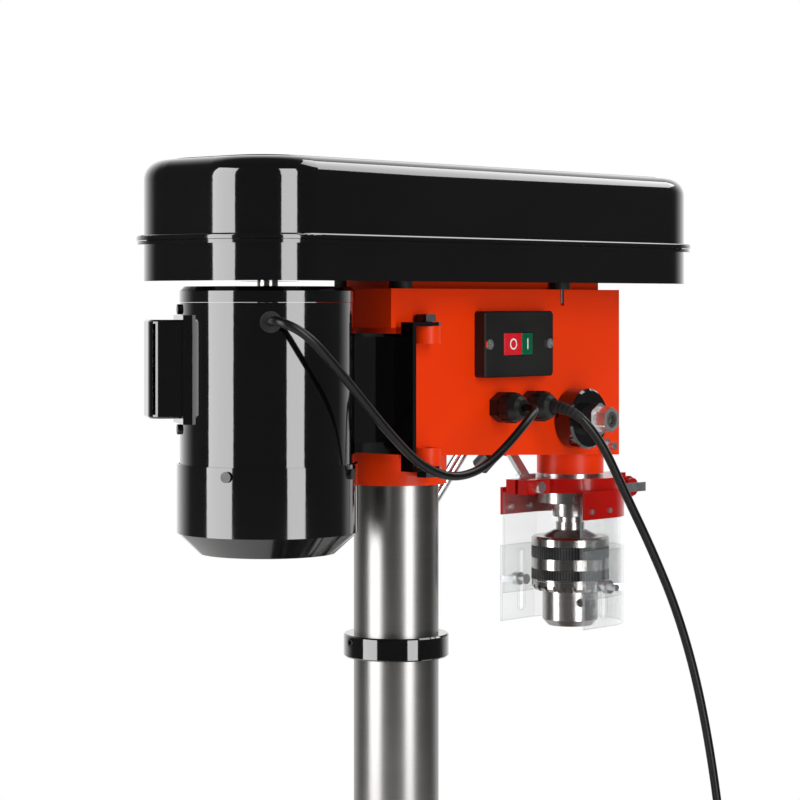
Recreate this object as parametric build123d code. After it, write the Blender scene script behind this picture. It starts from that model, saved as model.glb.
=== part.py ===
from build123d import *
from math import acos, asin, atan2, cos, degrees, pi, radians, sin, tan
import os

# Bench drill press. X points to the operator's right, Y back to the motor, Z up.
# The origin is the column's axis on the underside of the base. Millimetres throughout.

# ---- driving dimensions: stand ----
column_r = 30.0
column_wall = 3.0
head_top = 755.0
base_width = 210.0
base_front = -262.0
base_rear = 80.0
base_height = 30.0
flange_height = 68.0
flange_r = 58.0
rack_width = 14.0
rack_depth = 6.6
rack_lip = 4.0
collar_bottom = 496.0
collar_height = 16.0
collar_wall = 7.3

# ---- driving dimensions: table ----
table_top = 300.0
table_size = 184.0
table_plate = 10.0
table_rim = 8.0
tilt_drop = 60.0
bracket_height = 92.0
bracket_wall = 12.0
arm_half = 22.0
arm_face = -118.0
tilt_bolt_r = 8.0
crank_reach = 43.0

# ---- driving dimensions: head ----
spindle_y = -196.0
head_half_rear = 36.0
head_half_front = 27.0
head_rear = 44.0
head_back_plate = 25.0
head_nose = 26.0
sheet = 4.0
head_depth_rear = 117.0
head_depth_front = 126.0
socket_wall = 5.7
socket_bottom = 137.0
pad_height = 4.5
neck_wall = 5.5
neck_bottom = 139.5
hinge_x = -42.5
hinge_y = 15.0
hinge_boss_r = 10.0

# ---- driving dimensions: quill, spindle, chuck and feed ----
quill_r = 20.0
stroke = 60.0
guide_bottom = 162.0
spindle_r = 7.5
feed_module = 1.5
feed_teeth = 21
feed_depth = 96.0
feed_shaft_r = 8.0
chuck_top = 183.0
chuck_sleeve_r = 29.7
chuck_core_r = 21.25
sleeve_length = 41.2
chuck_length = 72.6
jaw_r = 4.0
cap_r = 22.4
cap_depth = 15.6
pad_rise = 1.4

# ---- driving dimensions: guard ----
guard_ring_r = 38.5
guard_ring_height = 11.0
hood_r = 41.2
hood_wall = 2.2
hood_rear = 34.0
shield_wall = 2.0

# ---- driving dimensions: belt drive ----
motor_y = 127.0
cover_half = 72.0
cover_front = 82.0
cover_rear = 74.0
cover_corner = 50.0
cover_wall = 1.6
tray_height = 26.5
lid_height = 54.0
step_radii = (28.0, 38.0, 48.0, 58.0)
step_height = 14.0
pulley_lift = 9.0
belt_step = 2

# ---- driving dimensions: motor ----
motor_r = 58.75
motor_drop = 117.0
cap_seam = 10.5
fan_cover_r = 60.75
fan_cover_height = 60.0
motor_shaft_r = 7.0
rotor_r = 28.0

# ---- clearances ----
slide_gap = 0.3
turn_gap = 0.05
seat_gap = 0.02
mesh_gap = 0.2

rack_module = 1.5
lift_teeth = 16
tooth_rise = 0.9
tooth_sink = 1.2
rack_back = column_r + slide_gap
lift_r = rack_module * lift_teeth / 2
lift_y = -(rack_back + rack_depth - tooth_rise * rack_module + lift_r + mesh_gap)
tilt_z = table_top - tilt_drop
bracket_bottom = tilt_z - 50.0
lift_z = bracket_bottom + 44.0
crank_start = column_r + bracket_wall - 5.0
table_y = spindle_y
feed_r = feed_module * feed_teeth / 2
quill_pitch = quill_r - 2.0
feed_y = spindle_y + quill_pitch + feed_r
feed_z = head_top - feed_depth
head_front = spindle_y - head_nose
tray_bottom = head_top + pad_height
tray_top = tray_bottom + tray_height
lid_top = tray_top + lid_height
pulley_bottom = tray_bottom + pulley_lift
motor_top = head_top + 1.0
motor_seam = motor_top - cap_seam
motor_skirt = head_top - motor_drop


def up(radius, low, high, x=0.0, y=0.0):
    """Upright cylinder between two heights."""
    return Pos(x, y, (low + high) / 2) * Cylinder(radius, high - low)


def pipe(outer, inner, low, high, x=0.0, y=0.0):
    """Upright tube between two heights."""
    return up(outer, low, high, x, y) - up(inner, low - 1, high + 1, x, y)


def along_x(radius, start, end, y, z):
    """Cylinder lying along X."""
    return Pos((start + end) / 2, y, z) * Rot(0, 90, 0) * Cylinder(radius, end - start)


def along_y(radius, start, end, x, z):
    """Cylinder lying along Y."""
    return Pos(x, (start + end) / 2, z) * Rot(90, 0, 0) * Cylinder(radius, end - start)


def block(x0, x1, y0, y1, z0, z1):
    """Box between two corners."""
    return Pos((x0 + x1) / 2, (y0 + y1) / 2, (z0 + z1) / 2) * Box(x1 - x0, y1 - y0, z1 - z0)


def turned(profile, x=0.0, y=0.0):
    """Body of revolution about an upright axis, from (radius, height) corners."""
    return Pos(x, y, 0) * revolve(Plane.XZ * Polygon(*profile, align=None), Axis.Z)


def side_prism(outline, x0, x1):
    """Outline in Y and Z carried along X."""
    return Pos(x0, 0, 0) * extrude(Plane.YZ * Polygon(*outline, align=None), x1 - x0, dir=(1, 0, 0))


def plan_prism(outline, z0, z1):
    """Outline in X and Y carried upward."""
    return Pos(0, 0, z0) * extrude(Polygon(*outline, align=None), z1 - z0, dir=(0, 0, 1))


def hexagon(across, length):
    """Hexagon bar standing on the XY plane."""
    return extrude(RegularPolygon(across / 2, 6, major_radius=False), length)


def lying_x(shape, x, y, z, outward=1):
    """Shape built along +Z, laid along +X or -X from a point."""
    return Pos(x, y, z) * Rot(0, 90 * outward, 0) * shape


def lying_y(shape, x, y, z, outward=1):
    """Shape built along +Z, laid along +Y or -Y from a point."""
    return Pos(x, y, z) * Rot(-90 * outward, 0, 0) * shape


def gear_outline(module, teeth, slack=0.16):
    """Involute tooth outline with a tooth centred on the +X axis."""
    pitch = module * teeth / 2
    base = pitch * cos(radians(20))
    root = pitch - tooth_sink * module
    tip = pitch + tooth_rise * module
    start = max(base, root) + 0.01
    radii = [start + (tip - start) * step / 3 for step in range(4)]

    def roll(radius):
        angle = acos(base / radius)
        return tan(angle) - angle

    half = pi / (2 * teeth) * (1 - slack) + roll(pitch)
    points = []
    for tooth in range(teeth):
        middle = 2 * pi * tooth / teeth
        rise = [(radius, -half + roll(radius)) for radius in radii]
        flank = [(root, -half)] + rise
        flank += [(radius, -angle) for radius, angle in reversed(flank)]
        points += [(r * cos(middle + a), r * sin(middle + a)) for r, a in flank]
    return points


def rack_outline(module, low, high, gap_at, face, back):
    """Rack teeth pointing toward -Y, as (Y, Z) corners; one gap is centred on gap_at."""
    pitch = pi * module
    narrow = pitch / 4 * 0.9 - tooth_rise * module * tan(radians(20))
    wide = pitch / 4 * 0.9 + tooth_sink * module * tan(radians(20))
    tip = face
    root = face + (tooth_rise + tooth_sink) * module
    first = int((gap_at - low) / pitch)
    count = first + int((high - gap_at) / pitch)
    points = [(back, low), (root, low)]
    for tooth in range(count):
        middle = gap_at + pitch * (tooth - first + 0.5)
        points += [(root, middle - wide), (tip, middle - narrow)]
        points += [(tip, middle + narrow), (root, middle + wide)]
    return points + [(root, high), (back, high)]


def save(name, shape):
    """Write one node."""
    export_step(shape, os.path.join("parts", name + ".step"))


# ---- stand ----
def base_plate():
    """Cast foot with a raised machined work face and two through slots."""
    middle = (base_front + base_rear) / 2
    length = base_rear - base_front
    foot = Pos(0, middle, base_height * 0.4) * Box(base_width, length, base_height * 0.8)
    foot = fillet(foot.edges().filter_by(Axis.Z), 18)
    foot = chamfer(foot.faces().sort_by(Axis.Z)[-1].edges(), 4)
    pad_back = -flange_r - 12
    pad = block(-base_width * 0.38, base_width * 0.38, base_front + 18, pad_back, 0, base_height)
    pad = fillet(pad.edges().filter_by(Axis.Z), 8)
    seat = up(flange_r + 4, 0, base_height)
    slots = [slot_hole(side * base_width * 0.22, spindle_y, 90, 14) for side in (-1, 1)]
    holes = [up(5.5, -1, base_height, side * (base_width / 2 - 16), y)
             for side in (-1, 1) for y in (base_front + 9, base_rear - 16)]
    for turn in range(4):
        holes += [up(5 + seat_gap, base_height - 15, base_height + 1, *flange_bolt_place(turn))]
    return foot + pad + seat - slots - holes


def slot_hole(x, y, length, width):
    """Round-ended slot along Y, cut through the base."""
    return Pos(x, y, -1) * extrude(SlotOverall(length, width, rotation=90), base_height + 2)


def column_flange():
    """Casting bolted to the base that grips the column's foot."""
    low = base_height
    top = low + flange_height
    boss_r = column_r + 13
    profile = [(column_r + seat_gap, low), (flange_r, low), (flange_r, low + 12), (boss_r + 4, low + 18)]
    profile += [(boss_r, low + 26), (boss_r, top - 2), (boss_r - 2, top)]
    profile += [(rack_back + rack_lip + slide_gap, top), (rack_back + rack_lip + slide_gap, top - 8)]
    profile += [(column_r + seat_gap, top - 8)]
    casting = turned(profile)
    holes = [up(5.2, low - 1, low + 30, *flange_bolt_place(turn)) for turn in range(4)]
    flats = [up(8.6, low + 12, low + 34, *flange_bolt_place(turn)) for turn in range(4)]
    screw = Rot(0, 0, 90) * along_x(4.1, column_r - 5, boss_r + 2, 0, low + 40)
    return casting - holes - flats - screw


def flange_bolt_place(turn):
    """Centre of one of the four flange bolts."""
    angle = radians(45 + 90 * turn)
    return (flange_r - 9) * cos(angle), (flange_r - 9) * sin(angle)


def flange_bolts():
    """Four hexagon bolts, their washers and the column's set screw."""
    pieces = []
    for turn in range(4):
        x, y = flange_bolt_place(turn)
        washer = up(8.4, base_height + 12, base_height + 13.6, x, y)
        head = Pos(x, y, base_height + 13.6) * hexagon(14, 6)
        pieces.append(washer + head + up(5, base_height - 14, base_height + 13, x, y))
    boss_r = column_r + 13
    grub = Rot(0, 0, 90) * along_x(4, column_r + seat_gap, boss_r + 1, 0, base_height + 40)
    return Compound(children=pieces + [grub])


def column():
    """Ground steel tube from the base to the top of the head."""
    return pipe(column_r, column_r - column_wall, base_height + seat_gap, head_top - 6)


def rack():
    """Toothed bar beside the column; its ends tuck under the flange and the collar."""
    low = base_height + flange_height - 7
    high = collar_bottom + 6.5
    foot = base_height + flange_height + slide_gap
    shoulder = collar_bottom - slide_gap
    face = -(rack_back + rack_depth)
    bar = side_prism(rack_outline(rack_module, foot, shoulder, lift_z, face, -rack_back),
                     -rack_width / 2, rack_width / 2)
    tongue = block(-rack_width / 2, rack_width / 2, -rack_back - rack_lip, -rack_back + 1, low, high)
    tongue &= up(rack_back + rack_lip, low, high)
    return bar + tongue - up(rack_back, low - 1, high + 1)


def rack_collar():
    """Ring that holds the rack's top end against the column."""
    outer = column_r + collar_wall
    high = collar_bottom + collar_height
    lip = rack_back + rack_lip + slide_gap
    profile = [(lip, collar_bottom), (outer - 1, collar_bottom), (outer, collar_bottom + 1)]
    profile += [(outer, high - 1), (outer - 1, high), (column_r + seat_gap, high)]
    profile += [(column_r + seat_gap, collar_bottom + 7), (lip, collar_bottom + 7)]
    return turned(profile) - collar_screw_shape(3.1)


def collar_screw_shape(radius):
    """The collar's radial set screw, as a plain cylinder."""
    angle = degrees(atan2(0.96, 0.28))
    z = collar_bottom + collar_height * 0.7
    return Rot(0, 0, angle) * along_x(radius, column_r + seat_gap, column_r + collar_wall + 0.6, 0, z)


def collar_set_screw():
    """Socket set screw."""
    angle = degrees(atan2(0.96, 0.28))
    z = collar_bottom + collar_height * 0.7
    outer = column_r + collar_wall + 0.6
    key = Rot(0, 0, angle) * lying_x(hexagon(3, 4), outer - 3, 0, z)
    return collar_screw_shape(3.0) - key


# ---- table group ----
def table_bracket():
    """Cast bracket that slides and swings on the column and carries the table arm."""
    low = bracket_bottom
    high = low + bracket_height
    outer = column_r + bracket_wall
    boss = up(outer, low, high)
    boss = chamfer(boss.edges().filter_by(GeomType.CIRCLE), 2)
    arm = block(-arm_half, arm_half, arm_face + 10, -column_r, tilt_z - 24, tilt_z + 24)
    nose = along_y(30, arm_face, arm_face + 12, 0, tilt_z)
    ears = block(-14, 14, column_r, outer + 20, low + 24, high - 24)
    body = boss + arm + nose + ears
    reach = rack_back + rack_depth + slide_gap
    body -= up(column_r + slide_gap, low - 1, high + 1)
    body -= block(-rack_width / 2 - slide_gap, rack_width / 2 + slide_gap, -reach, 0, low - 1, high + 1)
    body -= block(-1.5, 1.5, 0, outer + 30, low - 1, high + 1)
    body -= along_x(lift_r + rack_module + 1.5, -9, 9, lift_y, lift_z)
    body -= along_x(5 + slide_gap / 2, -40, 40, lift_y, lift_z)
    body -= along_x(5 + seat_gap, -30, 30, outer + 10, (low + high) / 2)
    body -= along_y(tilt_bolt_r + seat_gap, arm_face - 1, arm_face + 42, 0, tilt_z)
    return body


def lift_pinion():
    """Pinion cut on the crank's shaft; it climbs the rack."""
    teeth = extrude(Polygon(*gear_outline(rack_module, lift_teeth), align=None), 16)
    teeth = Pos(-8, lift_y, lift_z) * Rot(0, 90, 0) * Rot(0, 0, 90) * teeth
    shaft = along_x(5, -arm_half - 1, crank_start + 18, lift_y, lift_z)
    clip = along_x(7.5, -arm_half - 2.6, -arm_half - slide_gap, lift_y, lift_z)
    return teeth + shaft + clip


def lift_crank():
    """Arm and hub of the table's lifting crank."""
    start = crank_start
    hub = along_x(10, start, start + 18, lift_y, lift_z)
    arm = block(start + 8, start + 15, lift_y - 8, lift_y + 8, lift_z, lift_z + crank_reach)
    tip = along_x(8, start + 8, start + 15, lift_y, lift_z + crank_reach)
    bolt = along_x(4, start + 9, start + 52, lift_y, lift_z + crank_reach)
    return hub + arm + tip + bolt - along_x(5 + seat_gap, start - 1, start + 19, lift_y, lift_z)


def crank_knob():
    """Turned grip that spins on the crank's pin."""
    start = crank_start + 15 + slide_gap
    profile = [(4 + slide_gap, 0), (9, 0), (11, 5), (9.5, 14), (12, 26), (9, 33), (4 + slide_gap, 33)]
    return lying_x(turned(profile), start, lift_y, lift_z + crank_reach)


def table_lock():
    """Screw with a bent lever that closes the bracket's split."""
    y = column_r + bracket_wall + 10
    z = bracket_bottom + bracket_height / 2
    screw = along_x(5, -22, 26, y, z) + along_x(9, 14 + slide_gap, 24, y, z)
    lever = Pos(20, y, z) * Rot(-60, 0, 0) * Pos(0, 0, 30) * Cylinder(4, 60)
    knob = Pos(20, y, z) * Rot(-60, 0, 0) * Pos(0, 0, 62) * Sphere(8)
    nut = lying_x(hexagon(17, 8), -14 - slide_gap, y, z, -1)
    return screw + lever + knob + nut


def work_table():
    """Square slotted table with a rim below and a tilting boss."""
    half = table_size / 2
    plate_low = table_top - table_plate
    plate = Pos(0, table_y, table_top - table_plate / 2) * Box(table_size, table_size, table_plate)
    rim = Pos(0, table_y, plate_low - table_rim / 2) * Box(table_size, table_size, table_rim)
    inner = half - 8
    pocket = block(-inner, inner, table_y - inner, table_y + inner, plate_low - table_rim - 1, plate_low)
    casting = plate + (rim - pocket)
    casting = fillet(casting.edges().filter_by(Axis.Z).group_by(Axis.Z)[0], 3)
    casting += pipe(22, 13, plate_low - table_rim, plate_low + 1, 0, table_y)
    for angle in (0, 90):
        rib = Pos(0, table_y, plate_low - table_rim / 2) * Rot(0, 0, angle) * Box(2 * inner, 7, table_rim)
        casting += rib - up(20, plate_low - 30, plate_low, 0, table_y)
    face = arm_face - slide_gap
    casting += along_y(30, face - 14, face, 0, tilt_z)
    casting += block(-26, 26, face - 14, face - 2, tilt_z, plate_low + 1)
    casting += block(-4, 4, table_y + 30, face - 12, tilt_z + 20, plate_low + 1)
    casting -= up(13, plate_low - 30, table_top + 1, 0, table_y)
    casting -= along_y(tilt_bolt_r + slide_gap, face - 30, face + 1, 0, tilt_z)
    for turn in range(4):
        slot = extrude(SlotOverall(56, 14), 60)
        place = Rot(0, 0, 45 + 90 * turn) * Pos(76, 0, plate_low - 30)
        casting -= Pos(0, table_y, 0) * place * slot
    return casting


def tilt_bolt():
    """Stud through the arm's face with the nut that holds the table's tilt."""
    face = arm_face - slide_gap - 14
    stud = along_y(tilt_bolt_r, face - 16, arm_face + 40, 0, tilt_z)
    washer = along_y(15, face - 3 - slide_gap, face - slide_gap, 0, tilt_z)
    nut = lying_y(hexagon(24, 11), 0, face - 3 - slide_gap, tilt_z, -1)
    return stud + washer + nut


# ---- head ----
neck_r = quill_r + neck_wall
guide_r = quill_r + 5.0
guide_seat_r = quill_r + 3.0
guide_low = head_top - guide_bottom
neck_low = head_top - neck_bottom
head_low = head_top - head_depth_rear
sleeve_bearing_r = 17.0
drive_sleeve_r = 10.0
bearing_height = 8.0
hinge_top = head_top - 26.0
hinge_low = head_top - 122.5
lug = 2.6
switch_y = spindle_y + 109.5
switch_z = head_top - 39.5
gland_z = head_top - 85.0
gland_ys = (spindle_y + 123.0, spindle_y + 88.0)
tray_bolts = [(side * 28.0, y) for side in (-1, 1) for y in (24.0, spindle_y + 46.0)]


def half_at(y):
    """Half the head's width at a place along it."""
    share = (y - head_front) / (head_rear - head_front)
    return head_half_front + (head_half_rear - head_half_front) * share


def plate_angle():
    """Turn of the left side plate out of the YZ plane, in degrees."""
    return degrees(atan2(head_half_rear - head_half_front, head_rear - head_front))


feed_pad = half_at(feed_y) + pad_rise


def on_plate(shape, y, z):
    """Shape built along +Z, set square on the left side plate at a place along it."""
    return Pos(-half_at(y), y, z) * Rot(0, 0, plate_angle()) * Rot(0, -90, 0) * shape


def head_profile(inset):
    """The head's side outline, drawn in by the inset."""
    top = head_top - inset
    shelf = head_top - 27.0 + inset
    rear_low = head_low + inset
    front_low = head_top - head_depth_front + inset
    points = [(head_rear - inset, top), (head_rear - inset, shelf), (head_back_plate - inset, shelf)]
    points += [(head_back_plate - inset, rear_low), (-16.0, rear_low)]
    return points + [(head_front + inset, front_low), (head_front + inset, top)]


def head_shell(inset):
    """The tapering box of the head."""
    rear, front = head_rear - inset, head_front + inset
    at_rear, at_front = half_at(rear) - inset, half_at(front) - inset
    plan = [(-at_rear, rear), (at_rear, rear), (at_front, front), (-at_front, front)]
    return side_prism(head_profile(inset), -60, 60) & plan_prism(plan, 0, head_top)


def head_housing():
    """Welded head: box, column socket, quill neck, hinge bosses and bearing pads."""
    body = head_shell(0) - head_shell(sheet)
    body += up(column_r + socket_wall, head_top - socket_bottom, head_low + sheet)
    body += up(column_r + 3.8, head_low, head_top - sheet)
    body += up(neck_r, neck_low, head_top, 0, spindle_y)
    body += block(-20, 20, head_front + 17, 30, head_top - sheet, head_top + pad_height)
    for low, high in ((hinge_top - 12, hinge_top), (hinge_low, hinge_low + 12.5)):
        boss = up(hinge_boss_r, low, high, hinge_x, hinge_y)
        body += boss + block(hinge_x, -half_at(hinge_y) + 2, hinge_y - 8, hinge_y + 8, low, high)
    body += along_x(feed_shaft_r + 9, -feed_pad, -feed_pad + 8, feed_y, feed_z)
    body += along_x(feed_shaft_r + 9, feed_pad - 8, feed_pad, feed_y, feed_z)
    body -= up(column_r + seat_gap, head_top - socket_bottom - 1, head_top - 5)
    body -= up(guide_seat_r + seat_gap, neck_low - 1, head_top - 14.5, 0, spindle_y)
    body -= up(sleeve_bearing_r + seat_gap, head_top - 16, head_top + pad_height + 1, 0, spindle_y)
    body -= along_x(feed_shaft_r + turn_gap, -60, 60, feed_y, feed_z)
    body -= feed_window()
    for low, high in ((hinge_top - 13, hinge_top + 1), (hinge_low - 1, hinge_low + 14)):
        body -= up(4 + seat_gap, low, high, hinge_x, hinge_y)
    body -= on_plate(Pos(0, 0, -10) * extrude(Rectangle(36, 62), 20), switch_y, switch_z)
    for y in gland_ys:
        body -= on_plate(Pos(0, 0, -10) * Cylinder(7.5 + seat_gap, 40), y, gland_z)
    for x, y in tray_bolts:
        body -= up(2.6, head_top - 12, head_top + 1, x, y)
    body -= guide_screw_hole()
    return body


def feed_window():
    """Opening in the neck and the guide tube where the pinion reaches the quill."""
    rise = feed_r + 3.5
    return block(-10, 10, spindle_y + 8, feed_y + 4, feed_z - rise, feed_z + rise)


def guide_screw_hole():
    """Threaded hole of the quill's guide screw."""
    return along_x(3 + seat_gap, -50, -quill_r + 1.4, spindle_y - 4, head_top - 118)


def quill_guide_tube():
    """Bare steel tube pressed into the neck, with a collar below it."""
    body = up(guide_r, guide_low, neck_low - seat_gap, 0, spindle_y)
    body += up(guide_seat_r, guide_low, head_top - 15, 0, spindle_y)
    body -= up(quill_r + turn_gap, guide_low - 1, head_top, 0, spindle_y)
    return body - feed_window() - guide_screw_hole()


def quill_guide_screw():
    """Screw and lock nut whose dog runs in the quill's keyway."""
    y, z = spindle_y - 4, head_top - 118
    face = half_at(y) + 0.3
    dog = quill_r - 1.6
    return along_x(3, -face - 12, -dog, y, z) + lying_x(hexagon(10, 5), -face, y, z, -1)


# ---- quill and spindle ----
quill_low = guide_low + 1.0
quill_top = head_top - 23.0
bearing_r = 14.0
spindle_top = head_top + 70.0
nose_top = guide_low - 0.5
chuck_z = head_top - chuck_top


def quill():
    """Sliding sleeve with rack teeth at its back and a keyway at its left."""
    body = up(quill_r, quill_low, quill_top)
    face = -(quill_pitch + tooth_rise * feed_module)
    root = quill_pitch - tooth_sink * feed_module
    teeth = rack_outline(feed_module, feed_z - 12, feed_z + stroke + 11, feed_z, face, face + 6)
    comb = Rot(0, 0, 180) * side_prism(teeth, -7, 7)
    body -= block(-7, 7, root, quill_r + 1, feed_z - 12, quill_top + 1)
    body += comb & up(quill_r - 0.1, feed_z - 12, quill_top)
    key_z = head_top - 118
    body -= block(-quill_r - 1, -quill_r + 2.2, -7.2, -0.8, key_z - 5, key_z + stroke + 6)
    body -= up(spindle_r + 1.5, quill_low - 1, quill_top + 1)
    body -= up(bearing_r + seat_gap, quill_low - 1, quill_low + bearing_height + 2)
    body -= up(bearing_r + seat_gap, quill_top - bearing_height - 2, quill_top + 1)
    return Pos(0, spindle_y, 0) * body


def quill_bearings():
    """Two ball bearings, one in each end of the quill."""
    lows = (quill_low + 1, quill_top - bearing_height - 1)
    return Compound(children=[bearing(bearing_r, spindle_r + turn_gap, low, 0, spindle_y) for low in lows])


def bearing(outer, inner, low, x, y):
    """Ball bearing as one ring with its two shield grooves."""
    high = low + bearing_height
    mid = (outer + inner) / 2
    ring = pipe(outer, inner, low, high, x, y)
    grooves = pipe(mid + 1.6, mid - 1.6, high - 0.6, high + 1, x, y)
    return ring - grooves - pipe(mid + 1.6, mid - 1.6, low - 1, low + 0.6, x, y)


def spindle():
    """Splined shaft with its nose and the taper that carries the chuck."""
    nose_low = head_top - 173.0
    neck_end = head_top - 177.4
    profile = [(0, chuck_z - 22), (7.2, chuck_z - 22), (8.2, chuck_z + 0.2)]
    profile += [(11, chuck_z + 0.2), (11, neck_end)]
    profile += [(9.5, neck_end), (9.5, nose_low), (12.8, nose_low), (13.5, nose_low + 0.7)]
    profile += [(13.5, nose_top - 0.7), (12.8, nose_top), (spindle_r, nose_top)]
    profile += [(spindle_r, spindle_top - 1), (spindle_r - 1, spindle_top), (0, spindle_top)]
    return turned(profile, 0, spindle_y)


def jaw_place(turn):
    """Placement of a jaw's own axis: its tip at the nose, leaning outward going up."""
    low = chuck_z - chuck_length + 3
    return Rot(0, 0, 120 * turn + 90) * Pos(7.4, 0, low) * Rot(0, 18, 0)


def chuck_body():
    """Core of the key chuck with its jaw bores and key holes."""
    low = chuck_z - chuck_length
    profile = [(0, low), (17, low), (chuck_core_r, low + 4.6), (chuck_core_r, chuck_z - 4.6)]
    profile += [(19.5, chuck_z - 3.3), (12, chuck_z), (0, chuck_z)]
    core = turned(profile)
    taper = [(0, chuck_z - 24), (7.25, chuck_z - 24), (7.25, chuck_z - 22), (8.25, chuck_z + 1)]
    core -= turned(taper + [(0, chuck_z + 1)])
    core -= up(6.5, low - 1, low + 26)
    for turn in range(3):
        core -= jaw_place(turn) * Pos(0, 0, 12) * Cylinder(jaw_r + slide_gap, 46)
        core -= Rot(0, 0, 120 * turn + 30) * along_x(3.3, 12, 30, 0, chuck_z - 54)
    return Pos(0, spindle_y, 0) * core


def chuck_sleeve():
    """Turning sleeve of the chuck, with a ring of key teeth at its lower edge."""
    high = chuck_z - 4.6
    low = high - sleeve_length
    inner = chuck_core_r + 2 * turn_gap
    outer = chuck_sleeve_r
    band = sleeve_length / 5
    profile = [(inner, low), (outer - 3, low), (outer - 0.5, low + 2.5), (outer - 0.5, low + band - 1)]
    profile += [(outer, low + band - 0.5), (outer, high - 1.6), (outer - 1.6, high), (inner, high)]
    sleeve = turned(profile)
    notch = Pos(outer - 2.5, 0, low) * Box(9, 2.6, 9)
    notches = [Rot(0, 0, 15 * turn) * notch for turn in range(24)]
    sleeve -= notches
    grooves = [pipe(outer + 1, outer - 0.7, low + step * band - 0.5, low + step * band + 0.5) for step in (2, 3, 4)]
    return Pos(0, spindle_y, 0) * (sleeve - grooves)


def chuck_jaw(turn):
    """One hardened jaw."""
    jaw = Pos(0, 0, 13.5) * Cylinder(jaw_r, 27)
    low = chuck_z - chuck_length
    trim = block(-50, 50, -50, 50, low - 20, low + 1.5)
    return Pos(0, spindle_y, 0) * ((jaw_place(turn) * jaw) - trim)


# ---- feed ----
cap_face = -feed_pad - cap_depth
hub_start = feed_pad + 14.6


def feed_pinion_shaft():
    """Cross shaft with the pinion that drives the quill."""
    teeth = extrude(Polygon(*gear_outline(feed_module, feed_teeth), align=None), 13)
    teeth = Pos(-6.5, feed_y, feed_z) * Rot(0, 90, 0) * Rot(0, 0, -90) * teeth
    shaft = along_x(feed_shaft_r, cap_face + 0.2, hub_start + 30, feed_y, feed_z)
    stud = along_x(6, cap_face - 20.4, cap_face + 1, feed_y, feed_z)
    socket = along_x(3.6, cap_face - 22, cap_face - 12, feed_y, feed_z)
    slot = block(-feed_pad - 9, -feed_pad - 3, feed_y - 0.8, feed_y + 0.8, feed_z, feed_z + 9)
    return teeth + shaft + stud - socket - slot


def spring_cap():
    """Cup that houses the return spring on the left side plate."""
    cup = lying_x(Pos(0, 0, cap_depth / 2) * Cylinder(cap_r, cap_depth), -feed_pad, feed_y, feed_z, -1)
    cup = chamfer(cup.edges().filter_by(GeomType.CIRCLE).sort_by(Axis.X)[0], 1.5)
    cup -= along_x(cap_r - 2.4, cap_face + 3, -feed_pad + 1, feed_y, feed_z)
    for turn in range(3):
        notch = Rot(120 * turn + 40, 0, 0) * block(-feed_pad - 3, -feed_pad + 1, -3, 3, cap_r - 4, cap_r + 2)
        cup -= Pos(0, feed_y, feed_z) * notch
    return cup - along_x(feed_shaft_r + slide_gap, cap_face - 1, 0, feed_y, feed_z)


def return_spring():
    """Flat spring wound from the shaft out to the cap, as joined half rings."""
    pitch = 1.25
    strip = 0.7
    radius = feed_shaft_r + 0.2
    centre = 0.0
    coil = None
    for turn in range(15):
        ring = Cylinder(radius + strip, 9) - Cylinder(radius, 10)
        side = 1 if turn % 2 == 0 else -1
        half = ring & (Pos(0, side * 30, 0) * Box(80, 60, 12))
        piece = Pos(centre, 0, 0) * half
        coil = piece if coil is None else coil + piece
        centre += side * pitch / 2
        radius += pitch / 2
    return Pos(-feed_pad - 6.5, feed_y, feed_z) * Rot(0, 90, 0) * coil


def spring_nut():
    """Thin black nut that holds the spring cap."""
    thin = lying_x(hexagon(22, 9.6), cap_face - slide_gap, feed_y, feed_z, -1)
    thin = thin & along_x(12, cap_face - 12, cap_face, feed_y, feed_z)
    return thin - along_x(6 + seat_gap, cap_face - 30, cap_face + 1, feed_y, feed_z)


def chrome_nut():
    """Outer lock nut on the cross shaft."""
    start = cap_face - slide_gap - 9.6
    nut = lying_x(hexagon(17, 10.4), start, feed_y, feed_z, -1)
    nut &= along_x(9.4, start - 12, start + 1, feed_y, feed_z)
    return nut - along_x(6 + seat_gap, start - 30, start + 1, feed_y, feed_z)


def depth_ring():
    """Graduated stop ring between the head and the feed hub."""
    ring = lying_x(Pos(0, 0, 6.8) * Cylinder(31, 13.6), feed_pad + slide_gap, feed_y, feed_z)
    ring = chamfer(ring.edges().filter_by(GeomType.CIRCLE), 1)
    return ring - along_x(feed_shaft_r + slide_gap, 0, 90, feed_y, feed_z) - depth_screw(3 + seat_gap)


def depth_screw(radius):
    """Axis body of the stop ring's lock knob, leaning down and outward from the rim."""
    return depth_screw_place() * Pos(0, 0, 9) * Cylinder(radius, 22)


def depth_screw_place():
    """Placement of the lock screw in the stop ring's rim."""
    return Pos(feed_pad + 6.4, feed_y, feed_z) * Rot(-172, 0, 0) * Pos(0, 0, 20) * Rot(0, 45, 0)


def depth_lock_knob():
    """Knurled knob on its screw that locks the stop ring."""
    return depth_screw(3) + depth_screw_place() * Pos(0, 0, 22) * Cylinder(7, 13)


def feed_hub():
    """Hub with three angled seats for the handles."""
    hub = lying_x(Pos(0, 0, 15) * Cylinder(23, 30), hub_start, feed_y, feed_z)
    hub = chamfer(hub.edges().filter_by(GeomType.CIRCLE).sort_by(Axis.X)[-1], 5)
    for angle in rod_angles:
        hub -= rod_place(angle) * Pos(0, 0, 17) * Cylinder(rod_r + seat_gap, 24)
    return hub - along_x(feed_shaft_r + seat_gap, hub_start - 1, hub_start + 31, feed_y, feed_z)


rod_angles = (175.0, 295.0, 55.0)
rod_r = 5.0
rod_length = 118.0


def rod_place(angle):
    """Placement of a handle: its own +Z leans outward from the hub."""
    return Pos(hub_start + 12, feed_y, feed_z) * Rot(angle - 90, 0, 0) * Rot(0, 20, 0)


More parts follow.
